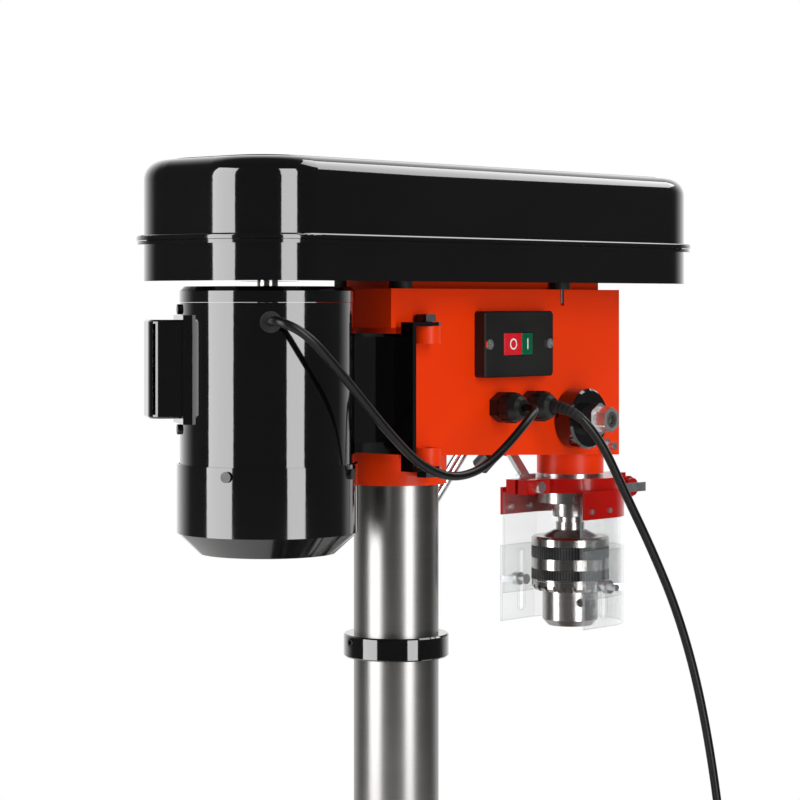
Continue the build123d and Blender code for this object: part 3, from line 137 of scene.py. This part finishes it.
class Paint:
    """A material on one Principled shader, described with wires."""

    def __init__(self, name):
        self.material = bpy.data.materials.new(name)
        self.material.use_nodes = True
        self.tree = self.material.node_tree
        self.shader = self.tree.nodes["Principled BSDF"]
        self.position = self.add("ShaderNodeTexCoord").outputs["Object"]

    def add(self, kind, **settings):
        """One node of any kind, with its settings."""
        node = self.tree.nodes.new(kind)
        for key, value in settings.items():
            setattr(node, key, value)
        return node

    def feed(self, socket, value):
        """A wire, a socket or a constant into an input."""
        if isinstance(value, Wire):
            value = value.socket
        if isinstance(value, bpy.types.NodeSocket):
            self.tree.links.new(value, socket)
        else:
            socket.default_value = value

    def axis(self, letter):
        """X, Y or Z of the place on the object, in metres."""
        node = self.add("ShaderNodeSeparateXYZ")
        self.feed(node.inputs[0], self.position)
        return Wire(self, node.outputs[letter])

    def stretched(self, x, y, z):
        """The place with each axis scaled, for grain that runs one way."""
        node = self.add("ShaderNodeVectorMath", operation="MULTIPLY")
        self.feed(node.inputs[0], self.position)
        node.inputs[1].default_value = (x, y, z)
        return node.outputs[0]

    def noise(self, scale, detail=3.0, where=None):
        node = self.add("ShaderNodeTexNoise")
        self.feed(node.inputs["Vector"], where or self.position)
        node.inputs["Scale"].default_value = scale
        node.inputs["Detail"].default_value = detail
        return Wire(self, node.outputs["Fac"])

    def blend(self, share, first, second):
        """Colour that goes from the first to the second."""
        node = self.add("ShaderNodeMix", data_type="RGBA")
        self.feed(node.inputs[0], share)
        self.feed(node.inputs[6], first if not isinstance(first, tuple) else (*first, 1.0))
        self.feed(node.inputs[7], second if not isinstance(second, tuple) else (*second, 1.0))
        return node.outputs[2]

    def relief(self, height, depth):
        """Bump of a depth in metres, added to what is there already."""
        node = self.add("ShaderNodeBump")
        node.inputs["Strength"].default_value = 1.0
        node.inputs["Distance"].default_value = depth
        self.feed(node.inputs["Height"], height)
        before = self.shader.inputs["Normal"].links
        if before:
            self.feed(node.inputs["Normal"], before[0].from_socket)
        self.feed(self.shader.inputs["Normal"], node.outputs["Normal"])

    # The edge mask below paints light and shade on sharp edges: paler edges as a painted highlight, and
    # darker, more opaque edges on the clear sheet as painted shade.
    def painted_edge_shading(self, width):
        """1 on sharp edges, from the bevelled normal turning away from the flat one."""
        bevel = self.add("ShaderNodeBevel", samples=4)
        bevel.inputs["Radius"].default_value = width
        flat = self.add("ShaderNodeNewGeometry")
        dot = self.add("ShaderNodeVectorMath", operation="DOT_PRODUCT")
        self.feed(dot.inputs[0], bevel.outputs["Normal"])
        self.feed(dot.inputs[1], flat.outputs["Normal"])
        return 1.0 - Wire(self, dot.outputs["Value"])

    def set(self, **values):
        for key, value in values.items():
            if isinstance(value, tuple):
                value = (*value, 1.0)
            self.feed(self.shader.inputs[key.replace("_", " ")], value)
        return self


# %% [markdown]
# ## Enamels
# Gloss coats over pressed sheet: a faint orange peel, soft smears of dust and a thin clear coat.

# %%
def enamel(name, colour, pale, rough=0.12, peel=0.00002, coat=0.5, shine=0.5):
    """Sprayed enamel: the colour drifts a little and the gloss is broken by smears."""
    paint = Paint(name)
    smear = paint.noise(9.0, 5.0)
    dust = paint.noise(900.0, 2.0).ramp(0.68, 0.76)
    # Sharp edges are blended towards the paler colour as a painted highlight.
    edge = paint.painted_edge_shading(0.0012).ramp(0.03, 0.3)
    share = smear.ramp(0.35, 0.8) * 0.25 + dust * 0.10 + edge * 0.15
    paint.set(Base_Color=paint.blend(share, colour, pale))
    paint.set(Roughness=rough + smear.ramp(0.4, 0.75) * 0.06 + dust * 0.15)
    paint.set(Coat_Weight=coat, Coat_Roughness=0.04, IOR=1.5, Specular_IOR_Level=shine)
    paint.relief(paint.noise(260.0, 1.0), peel)
    paint.relief(paint.noise(28.0, 1.0), peel * 6)
    return paint.material


black_enamel = enamel("black_enamel", (0.0012, 0.0012, 0.0016), (0.006, 0.006, 0.007),
                      rough=0.07, coat=1.0)
orange_coat = enamel("orange_coat", (0.76, 0.034, 0.0), (0.82, 0.048, 0.0008),
                     rough=0.38, coat=0.05, shine=0.2)
red_enamel = enamel("red_enamel", (0.36, 0.004, 0.002), (0.50, 0.012, 0.008),
                    rough=0.2, coat=0.2, shine=0.25)
print("enamels made")


# %% [markdown]
# ## Casting enamel
# The base, flange and table bracket are rough castings. Thick paint softens their sand texture, so
# two sizes of noise push the surface, and the paint is more satin than on the pressed sheet.

# %%
def rough_casting():
    """Thick satin enamel on rough castings."""
    paint = Paint("base_enamel")
    lumps = paint.noise(220.0, 3.0)
    share = paint.noise(14.0).ramp(0.3, 0.8)
    paint.set(Base_Color=paint.blend(share, (0.010, 0.010, 0.011), (0.022, 0.022, 0.024)))
    paint.set(Roughness=0.32 + lumps * 0.15, Coat_Weight=0.2)
    paint.relief(lumps, 0.00025)
    paint.relief(paint.noise(40.0), 0.0005)
    return paint.material


casting_enamel = rough_casting()
print("casting enamel made")


# %% [markdown]
# ## Metals
# Ground, turned and plated steel differ in how their fine lines run.

# %%
def lined_metal(name, colour, pale, stretch, rough, spread=0.12, depth=0.000012):
    """Metal whose tool marks run along the axis with the small stretch."""
    paint = Paint(name)
    lines = paint.noise(1.0, 4.0, paint.stretched(*stretch))
    cloud = paint.noise(30.0, 3.0)
    share = lines * 0.7 + cloud * 0.3
    paint.set(Base_Color=paint.blend(share, colour, pale), Metallic=1.0)
    paint.set(Roughness=rough + lines.ramp(0.35, 0.7) * spread + cloud * 0.03)
    paint.relief(lines, depth)
    return paint


column_steel = lined_metal("column_steel", (0.22, 0.215, 0.21), (0.30, 0.295, 0.29),
                           (6, 6, 2200), 0.27, 0.05, 0.000003).material
turned_steel = lined_metal("turned_steel", (0.40, 0.38, 0.365), (0.50, 0.48, 0.465),
                           (20, 20, 3800), 0.20, 0.05, 0.000002).material
cross_steel = lined_metal("cross_steel", (0.50, 0.49, 0.48), (0.70, 0.69, 0.68),
                          (3500, 60, 60), 0.2).material
table_iron = lined_metal("table_iron", (0.26, 0.25, 0.24), (0.44, 0.43, 0.41),
                         (1600, 30, 300), 0.30).material
cast_aluminium = lined_metal("cast_aluminium", (0.55, 0.55, 0.56), (0.76, 0.76, 0.77),
                             (90, 90, 1800), 0.28).material


def plated(name, colour, pale, rough):
    """Zinc or chrome plate: bright, slightly clouded, with a painted highlight on the edges."""
    paint = Paint(name)
    cloud = paint.noise(160.0, 4.0)
    # Sharp edges are blended towards the paler colour as a painted highlight.
    edge = paint.painted_edge_shading(0.0006).ramp(0.03, 0.3)
    paint.set(Base_Color=paint.blend(cloud * 0.8 + edge * 0.2, colour, pale), Metallic=1.0)
    paint.set(Roughness=rough + cloud * 0.12)
    paint.relief(cloud, 0.00002)
    return paint.material


bright_zinc = plated("bright_zinc", (0.60, 0.61, 0.63), (0.82, 0.83, 0.84), 0.30)
chrome_plate = plated("chrome_plate", (0.66, 0.66, 0.67), (0.82, 0.82, 0.82), 0.08)
black_oxide = plated("black_oxide", (0.03, 0.03, 0.032), (0.09, 0.09, 0.095), 0.30)
print("metals made")


# %% [markdown]
# ## The chuck's sleeve
# Two blackened bands carry a straight knurl; the rest is turned steel. The ridges are too fine to
# model, so a sine of the angle round the axis draws them as a bump and as painted shade: darker grooves
# between lighter crests.

# %%
def knurled_sleeve(node):
    """Turned steel with two dark knurled bands between the cut grooves."""
    low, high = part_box(node)
    middle = (low + high) / 2
    band = (high.z - low.z) / 5
    paint = lined_metal("knurled_sleeve", (0.40, 0.38, 0.365), (0.52, 0.50, 0.48),
                        (20, 20, 3800), 0.18, 0.05, 0.000002)
    height = paint.axis("Z") - low.z
    lower = (height > band * 1.08) * (height < band * 2.0)
    upper = (height > band * 3.0) * (height < band * 4.15)
    bands = lower + upper
    angle = paint.add("ShaderNodeMath", operation="ARCTAN2")
    paint.feed(angle.inputs[0], paint.axis("Y") - middle.y)
    paint.feed(angle.inputs[1], paint.axis("X") - middle.x)
    ridges = (Wire(paint, angle.outputs[0]) * 84.0).wave() * 0.5 + 0.5
    steel = paint.shader.inputs["Base Color"].links[0].from_socket
    # Painted shade on the knurl: grooves darker, crests lighter, following the sine of the angle.
    dark = paint.blend(ridges, (0.006, 0.006, 0.007), (0.035, 0.034, 0.034))
    paint.set(Base_Color=paint.blend(bands, steel, dark))
    paint.set(Roughness=0.18 + bands * 0.22, Metallic=1.0 - bands * 0.25)
    paint.relief(ridges * bands, 0.0004)
    return paint.material


sleeve_finish = knurled_sleeve("chuck_sleeve")


# %% [markdown]
# ## The stop ring's scale
# Graduations are engraved round the rim; its lock knob is black plastic. Distance from the axis
# tells the rim from the knob, and a sine of the angle places the marks.

# %%
def graduated_ring(node):
    """Aluminium with dark tick marks round the rim and a dark knob below."""
    low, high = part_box(node)
    centre_y = (low.y + high.y) / 2
    centre_z = high.z - (high.y - low.y) / 2
    rim = (high.y - low.y) / 2
    paint = lined_metal("graduated_ring", (0.52, 0.52, 0.53), (0.74, 0.74, 0.75),
                        (1800, 90, 90), 0.25)
    y = paint.axis("Y") - centre_y
    z = paint.axis("Z") - centre_z
    reach = (y * y + z * z) ** 0.5
    angle = paint.add("ShaderNodeMath", operation="ARCTAN2")
    paint.feed(angle.inputs[0], z)
    paint.feed(angle.inputs[1], y)
    ticks = (Wire(paint, angle.outputs[0]) * 60.0).wave() > 0.93
    on_rim = (reach > rim - 0.0012) * (reach < rim + 0.0003)
    knob = reach > rim + 0.0003
    plain = paint.shader.inputs["Base Color"].links[0].from_socket
    marked = paint.blend(ticks * on_rim, plain, (0.01, 0.01, 0.01))
    paint.set(Base_Color=paint.blend(knob, marked, (0.012, 0.012, 0.012)))
    paint.set(Metallic=1.0 - knob, Roughness=0.26 + knob * 0.15)
    return paint.material


ring_finish = graduated_ring("depth_ring")


# %% [markdown]
# ## Nuts on the cross shaft
# The thin inner nut is black, the outer one is chrome. They share one mesh, so the place along the
# shaft chooses the finish.

# %%
def two_nuts(node):
    """Black inboard nut and chrome outer nut, told apart by their place along the shaft."""
    low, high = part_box(node)
    paint = Paint("shaft_nuts")
    inner = paint.axis("X") > low.x + (high.x - low.x) * 0.52
    cloud = paint.noise(200.0)
    chrome = paint.blend(cloud, (0.70, 0.70, 0.71), (0.86, 0.86, 0.86))
    dark = paint.blend(cloud, (0.006, 0.006, 0.007), (0.02, 0.02, 0.022))
    paint.set(Base_Color=paint.blend(inner, chrome, dark), Metallic=1.0 - inner)
    paint.set(Roughness=0.34 + cloud * 0.10)
    paint.relief(cloud, 0.00003)
    return paint.material


nut_finish = two_nuts("spring_nuts")


# %% [markdown]
# ## Plastics, rubber and the clear guard
# Moulded parts take a fine grain from the tool. The guard is clear sheet: mostly transparent, with
# painted shade on its edges, drawn darker and more opaque, and hair scratches that catch the light.

# %%
def moulded(name, colour, pale, rough, grain, depth):
    """Moulded plastic or rubber with a fine grain."""
    paint = Paint(name)
    speck = paint.noise(grain, 3.0)
    # Sharp edges are blended towards the paler colour as a painted highlight; the noise part of the share
    # is random tone.
    share = paint.noise(25.0).ramp(0.3, 0.8) * 0.6 + paint.painted_edge_shading(0.0007).ramp(0.03, 0.3) * 0.4
    paint.set(Base_Color=paint.blend(share, colour, pale), Roughness=rough + speck * 0.12,
              Specular_IOR_Level=0.3)
    paint.relief(speck, depth)
    return paint.material


black_plastic = moulded("black_plastic", (0.008, 0.008, 0.008), (0.020, 0.019, 0.018),
                        0.30, 1500.0, 0.00004)
red_plastic = moulded("red_plastic", (0.55, 0.008, 0.018), (0.64, 0.02, 0.03), 0.20, 600.0, 0.00001)
green_plastic = moulded("green_plastic", (0.0, 0.085, 0.035), (0.004, 0.12, 0.05), 0.20, 600.0, 0.00001)
white_print = moulded("white_print", (0.75, 0.75, 0.72), (0.85, 0.85, 0.83), 0.4, 900.0, 0.00001)
black_rubber = moulded("black_rubber", (0.010, 0.010, 0.010), (0.022, 0.022, 0.021),
                       0.55, 1100.0, 0.00008)
cable_sheath = moulded("cable_sheath", (0.002, 0.002, 0.002), (0.006, 0.006, 0.006),
                       0.26, 700.0, 0.00002)


def clear_sheet():
    """Clear polycarbonate with hair scratches and painted shade on darker, more opaque edges."""
    paint = Paint("clear_sheet")
    scratches = paint.noise(1.0, 4.0, paint.stretched(40, 40, 1400)).ramp(0.62, 0.75)
    # Painted shade on the edges: a darker colour and much less transparency along sharp edges.
    edge = paint.painted_edge_shading(0.0009).ramp(0.02, 0.25)
    paint.set(Base_Color=paint.blend(edge, (0.62, 0.66, 0.67), (0.36, 0.42, 0.45)))
    paint.set(Roughness=0.04 + scratches * 0.10, Alpha=0.16 + edge * 0.70 + scratches * 0.05)
    paint.shader.inputs["Transmission Weight"].default_value = 0.6
    paint.shader.inputs["IOR"].default_value = 1.5
    return paint.material


clear_polycarbonate = clear_sheet()
print("plastics made")


# %% [markdown]
# ## Finishes onto the CAD parts
# Each finish is listed with the parts that wear it, so one loop dresses the whole machine.

# %%
finishes = {
    black_enamel: ["rack_collar", "spring_cap", "belt_tray", "belt_lid", "tray_hinges", "lid_fittings",
                   "motor_body", "motor_fan_cover", "capacitor_box", "motor_bracket", "feed_hub"],
    orange_coat: ["head_housing"],
    red_enamel: ["guard_collar", "guard_hood"],
    casting_enamel: ["base_plate", "column_flange", "table_bracket"],
    column_steel: ["column"],
    turned_steel: ["quill_guide_tube", "quill", "spindle", "chuck_body", "chuck_jaw_1", "chuck_jaw_2",
                   "chuck_jaw_3", "drive_sleeve", "sleeve_bearings", "motor_rotor", "rack"],
    cross_steel: ["feed_pinion_shaft", "lift_crank", "table_lock", "tilt_bolt", "return_spring"],
    table_iron: ["work_table"],
    cast_aluminium: ["spindle_pulley", "motor_pulley"],
    bright_zinc: ["head_screws", "guard_stay", "guard_fasteners"],
    chrome_plate: ["feed_rods"],
    black_oxide: ["fixed_bolts", "motor_fasteners"],
    sleeve_finish: ["chuck_sleeve"],
    ring_finish: ["depth_ring"],
    nut_finish: ["spring_nuts"],
    black_plastic: ["feed_knobs", "switch_box", "cable_glands"],
    red_plastic: ["button_off"],
    green_plastic: ["button_on"],
    black_rubber: ["tray_washers", "cable_grommet", "mains_plug"],
    clear_polycarbonate: ["guard_upper_shield", "guard_lower_shield"],
}
for finish, names in finishes.items():
    for name in names:
        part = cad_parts[name]
        part.data.materials.clear()
        part.data.materials.append(finish)
print("finished", sum(len(names) for names in finishes.values()), "parts")


# %% [markdown]
# ## Camera
# A long lens at head height, level, looking at the switch side of the head from beside the motor.

# %%
lens = bpy.data.cameras.new("long_lens")
lens.lens = 112.5
lens.sensor_width = 36.0
lens.clip_end = 50.0
lens.shift_y = -97 / 800
camera = in_scene("camera", lens)
camera.location = (-1.2016, 1.2982, 0.745)
camera.rotation_euler = (math.radians(90), 0, math.radians(222.7))
bpy.context.scene.camera = camera
print("camera at", tuple(camera.location))


# %% [markdown]
# ## Cables as splines
# A real cable bends in one smooth line. A NURBS spline through a few chosen points gives that line.

# %%
def spline(name, points, diameter):
    """A round cable along control points given in millimetres."""
    curve = bpy.data.curves.new(name, "CURVE")
    curve.dimensions = "3D"
    run = curve.splines.new("NURBS")
    run.points.add(len(points) - 1)
    for place, (x, y, z) in zip(run.points, points):
        place.co = (x / 1000, y / 1000, z / 1000, 1.0)
    run.order_u = 3
    run.use_endpoint_u = True
    run.resolution_u = 8
    curve.bevel_depth = diameter / 2
    curve.bevel_resolution = 5
    curve.use_fill_caps = True
    return in_scene(name, curve)


def centre_line(cable):
    """The spline's own points, read with no thickness on it."""
    bevel = cable.data.bevel_depth
    cable.data.bevel_depth = 0.0
    bpy.context.view_layer.update()
    seen = cable.evaluated_get(bpy.context.evaluated_depsgraph_get())
    mesh = bpy.data.meshes.new_from_object(seen)
    points = [vertex.co.copy() for vertex in mesh.vertices]
    bpy.data.meshes.remove(mesh)
    cable.data.bevel_depth = bevel
    bpy.context.view_layer.update()
    return points


def length_of(points):
    return sum((b - a).length for a, b in zip(points, points[1:]))


# %% [markdown]
# ## The motor's cable
# It leaves the motor's grommet, sags in front of the head and rises into the switch box. The motor
# swings to tension the belt; the tube is made into a mesh and baked in place.

# %%
motor_route = [(-47.0, 169.77, 732.7), (-63, 183, 735), (-78, 169, 726), (-80, 146, 706),
               (-79, 119, 683), (-78, 91, 659), (-78, 62, 637), (-79, 31, 626), (-80, 1, 630),
               (-79, -27, 645), (-77, -55, 664), (-69, -73.5, 671), (-56.03, -73.81, 670)]
motor_spline = spline("motor_cable_line", motor_route, 0.006)
motor_line = centre_line(motor_spline)
seen = motor_spline.evaluated_get(bpy.context.evaluated_depsgraph_get())
motor_lead = in_scene("motor_lead", bpy.data.meshes.new_from_object(seen))
bpy.data.objects.remove(motor_spline)
for face in motor_lead.data.polygons:
    face.use_smooth = True
motor_lead.data.materials.clear()
motor_lead.data.materials.append(cable_sheath)
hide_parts("motor_cable")
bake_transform(motor_lead)
print("motor cable", round(length_of(motor_line), 4), "m")


# %% [markdown]
# ## The mains lead
# It drops from the switch box, reaches the bench and is wound into a neat coil beside the base:
# two turns spiral in on the bench and the rest spiral out on top. The tail crosses to its plug.

# %%
lead_diameter = 0.0065
fall = [(-54.84, -108.81, 670), (-72, -109.6, 669), (-83, -128, 646), (-88, -150, 607), (-94, -174, 565),
        (-100, -196, 520), (-106, -212, 470), (-113, -222, 410), (-119, -229, 340), (-124, -233, 262),
        (-128, -233, 182), (-132, -228, 108), (-138, -218, 52), (-150, -204, 18), (-170, -190, 3.6),
        (-192, -179, 3.3), (-210, -159, 3.3), (-215, -135, 3.3)]
coil_centre = (-172, -130)
coil_start = 41.5
turn_step = 6.7
points_per_turn = 20
coil = []
for step in range(1, int(3.65 * points_per_turn) + 1):
    turn = step / points_per_turn
    radius = coil_start - turn_step * turn if turn < 2 else coil_start + turn_step * (turn - 4)
    height = 3.3 + turn_step * min(max((turn - 2) / 0.4, 0), 1)
    angle = math.pi - 2 * math.pi * turn
    coil.append((coil_centre[0] + radius * math.cos(angle),
                 coil_centre[1] + radius * math.sin(angle), height))
tail = [(-172.5, -179.4, 11), (-186, -183, 12.5), (-199.5, -179.4, 14), (-209.4, -169.5, 15.5),
        (-213, -156, 16.4), (-209.4, -142.5, 16.8), (-199.5, -132.6, 16.8), (-186, -129, 16.8),
        (-173.7, -132.4, 16.8), (-162, -136, 16.8), (-149, -132.6, 16.6), (-139.5, -122.9, 16.3),
        (-136, -110, 16)]
mains_lead = spline("mains_lead", fall + coil + tail, lead_diameter)
mains_line = centre_line(mains_lead)
mains_lead.data.materials.append(cable_sheath)
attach(mains_lead, "frame")
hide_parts("mains_cord", "mains_coil")
print("mains lead", round(length_of(mains_line), 4), "m")


# %% [markdown]
# ## Ribbed strain relief
# A soft tapered sleeve keeps the lead from kinking where it leaves the box. Rings are lofted along the
# lead's own line, narrower and narrower, with grooves that let the sleeve bend.

# %%
def lofted_sleeve(name, line, radii, sides=24):
    """A skin over rings centred on the points of a line."""
    mesh = bmesh.new()
    rings = []
    side = Vector((0, 0, 1))
    for index, (centre, radius) in enumerate(zip(line, radii)):
        ahead = line[min(index + 1, len(line) - 1)] - line[max(index - 1, 0)]
        ahead.normalize()
        side = (side - ahead * side.dot(ahead)).normalized()
        across = ahead.cross(side)
        ring = []
        for k in range(sides):
            angle = 2 * math.pi * k / sides
            spoke = math.cos(angle) * side + math.sin(angle) * across
            ring.append(mesh.verts.new(centre + radius * spoke))
        rings.append(ring)
    for first, second in zip(rings, rings[1:]):
        for k in range(sides):
            mesh.faces.new((first[k], first[(k + 1) % sides], second[(k + 1) % sides], second[k]))
    mesh.faces.new(list(reversed(rings[0])))
    mesh.faces.new(rings[-1])
    bmesh.ops.recalc_face_normals(mesh, faces=mesh.faces)
    sleeve = from_bmesh(name, mesh)
    for face in sleeve.data.polygons:
        face.use_smooth = True
    return sleeve


def along(line, distance):
    """The point at a distance along a line."""
    for a, b in zip(line, line[1:]):
        piece = (b - a).length
        if distance <= piece:
            return a.lerp(b, distance / piece)
        distance -= piece
    return line[-1].copy()


relief_length = 0.024
relief_line, relief_radii = [], []
for step in range(61):
    share = step / 60
    groove = 0.0002 if 0.15 < share < 0.85 and (step // 4) % 2 else 0.0
    relief_line.append(along(mains_line, share * relief_length))
    relief_radii.append(0.0048 - 0.0013 * share - groove)
lead_relief = lofted_sleeve("lead_strain_relief", relief_line, relief_radii)
lead_relief.data.materials.append(black_rubber)
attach(lead_relief, "frame")
print("strain relief", relief_length, "m")


# %% [markdown]
# ## Tie strap
# A short hook-and-loop strap holds the turns. It is a flat band wrapped round the bundle's section.

# %%
def wrapped_strap(name, angle, near, far, top, width, thickness):
    """A rounded band round the coil's section at one angle."""
    outward = Vector((math.cos(angle), math.sin(angle), 0))
    along_turn = Vector((-math.sin(angle), math.cos(angle), 0))
    centre = Vector((coil_centre[0] / 1000, coil_centre[1] / 1000, 0)) + outward * (near + far) / 2
    half_wide, half_high, corner = (far - near) / 2, top / 2, 0.003
    outline = []
    for sign_x, sign_z, start in ((1, 1, 0), (-1, 1, 90), (-1, -1, 180), (1, -1, 270)):
        for step in range(6):
            turn = math.radians(start + step * 18)
            outline.append((sign_x * (half_wide - corner) + corner * math.cos(turn),
                            sign_z * (half_high - corner) + corner * math.sin(turn)))
    mesh = bmesh.new()
    rows = []
    for offset in (-width / 2, width / 2):
        row = []
        for x, z in outline:
            lift = Vector((0, 0, top / 2 + z))
            row.append(mesh.verts.new(centre + outward * x + along_turn * offset + lift))
        rows.append(row)
    count = len(outline)
    for k in range(count):
        after = (k + 1) % count
        mesh.faces.new((rows[0][k], rows[0][after], rows[1][after], rows[1][k]))
    bmesh.ops.recalc_face_normals(mesh, faces=mesh.faces)
    strap = from_bmesh(name, mesh)
    solid = strap.modifiers.new("thickness", "SOLIDIFY")
    solid.thickness = thickness
    solid.offset = -1.0
    return strap


coil_strap = wrapped_strap("coil_strap", math.radians(70), near=0.0262, far=0.0434, top=0.0143,
                           width=0.009, thickness=0.0009)
coil_strap.data.materials.append(black_rubber)
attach(coil_strap, "frame")


# %% [markdown]
# ## V-belt
# The belt joins a pulley on the head to one on the swinging motor, so it has to stretch as the motor
# swings. A copy of its mesh, baked in place, stands for the rigid belt.

# %%
belt = in_scene("stretching_belt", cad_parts["v_belt"].data.copy())
belt.data.materials.clear()
belt.data.materials.append(black_rubber)
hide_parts("v_belt")
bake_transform(belt)


# %% [markdown]
# ## Marks on the switch
# The stop button carries a ring and the start button a bar, printed as thin raised shapes on their faces.

# %%
def printed_mark(name, node, body, inner, outer, straight, sides=48):
    """A ring, or a bar where straight is more than nothing, on a button's outer face."""
    normal = Vector((-0.999428, -0.033815, 0)).normalized()
    across = Vector((0, 0, 1)).cross(normal).normalized()
    corners = [vertex.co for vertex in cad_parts[node].data.vertices]
    face = max(corner.dot(normal) for corner in corners)
    flat = [corner for corner in corners if corner.dot(normal) > face - 0.0003]
    low = Vector([min(c[i] for c in flat) for i in range(3)])
    high = Vector([max(c[i] for c in flat) for i in range(3)])
    centre = (low + high) / 2
    centre += normal * (face + 0.00015 - centre.dot(normal))
    mesh = bmesh.new()
    rows = []
    for radius in (inner, outer):
        row = []
        for k in range(sides):
            angle = 2 * math.pi * k / sides
            x, z = radius * math.cos(angle), radius * math.sin(angle)
            if straight:
                x, z = x * 0.3, z + math.copysign(straight, z + 1e-9)
            row.append(mesh.verts.new(centre + across * x + Vector((0, 0, z))))
        rows.append(row)
    for k in range(sides):
        after = (k + 1) % sides
        mesh.faces.new((rows[0][k], rows[0][after], rows[1][after], rows[1][k]))
    if straight:
        mesh.faces.new(rows[0])
    bmesh.ops.recalc_face_normals(mesh, faces=mesh.faces)
    mark = from_bmesh(name, mesh)
    raised = mark.modifiers.new("raised", "SOLIDIFY")
    raised.thickness = 0.0002
    raised.offset = 0.0
    mark.data.materials.append(white_print)
    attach(mark, body)
    return mark


stop_mark = printed_mark("stop_mark", "button_off", "off_button",
                         inner=0.0030, outer=0.0040, straight=0)
start_mark = printed_mark("start_mark", "button_on", "on_button",
                          inner=0.0008, outer=0.0018, straight=0.0024)
print("switch marks made")


# %% [markdown]
# ## Studio
# A pale floor, a white surround and two tall soft boxes whose long reflections run down the glossy cover.

# %%
def pale_floor(radius):
    mesh = bmesh.new()
    bmesh.ops.create_circle(mesh, cap_ends=True, segments=128, radius=radius)
    floor = from_bmesh("floor", mesh)
    floor.location.z = -0.0006
    paint = Paint("floor_paper")
    fibre = paint.noise(300.0, 4.0)
    paint.set(Base_Color=paint.blend(fibre, (0.80, 0.80, 0.79), (0.84, 0.84, 0.83)))
    paint.set(Roughness=0.8 + fibre * 0.1)
    floor.data.materials.append(paint.material)
    return floor


def soft_box(name, bearing, distance, height, width, tall, power):
    """An area light at a bearing round the machine, facing its head."""
    data = bpy.data.lights.new(name, "AREA")
    data.shape = "RECTANGLE"
    data.size = width
    data.size_y = tall
    data.energy = power
    lamp = in_scene(name, data)
    angle = math.radians(bearing)
    place = Vector((distance * math.cos(angle), distance * math.sin(angle), height))
    lamp.location = place
    lamp.rotation_euler = (Vector((0, 0, 0.7)) - place).to_track_quat("-Z", "Y").to_euler()
    return lamp


pale_floor(1.6)
soft_box("left_box", bearing=73.7, distance=2.0, height=1.0, width=1.3, tall=2.2, power=56)
soft_box("right_box", bearing=168.7, distance=2.0, height=1.0, width=0.85, tall=2.2, power=37)
soft_box("top_box", bearing=250.0, distance=1.6, height=2.3, width=1.4, tall=1.4, power=22)

surround = bpy.data.worlds.new("surround")
surround.use_nodes = True
sky = surround.node_tree
background = sky.nodes["Background"]
bearing = sky.nodes.new("ShaderNodeVectorMath")
bearing.operation = "DOT_PRODUCT"
bearing.inputs[1].default_value = (0.678, -0.735, 0.0)
fade = sky.nodes.new("ShaderNodeMapRange")
fade.interpolation_type = "SMOOTHSTEP"
fade.inputs["From Min"].default_value = 0.3
fade.inputs["From Max"].default_value = 0.9
fade.inputs["To Min"].default_value = 0.07
fade.inputs["To Max"].default_value = 1.0
sky.links.new(sky.nodes.new("ShaderNodeTexCoord").outputs["Generated"], bearing.inputs[0])
sky.links.new(bearing.outputs["Value"], fade.inputs["Value"])
sky.links.new(fade.outputs["Result"], background.inputs["Strength"])
background.inputs["Color"].default_value = (1.0, 1.0, 1.0, 1.0)
bpy.context.scene.world = surround
bpy.context.scene.view_settings.view_transform = "Standard"
print("studio set")


# %%
bpy.context.view_layer.update()
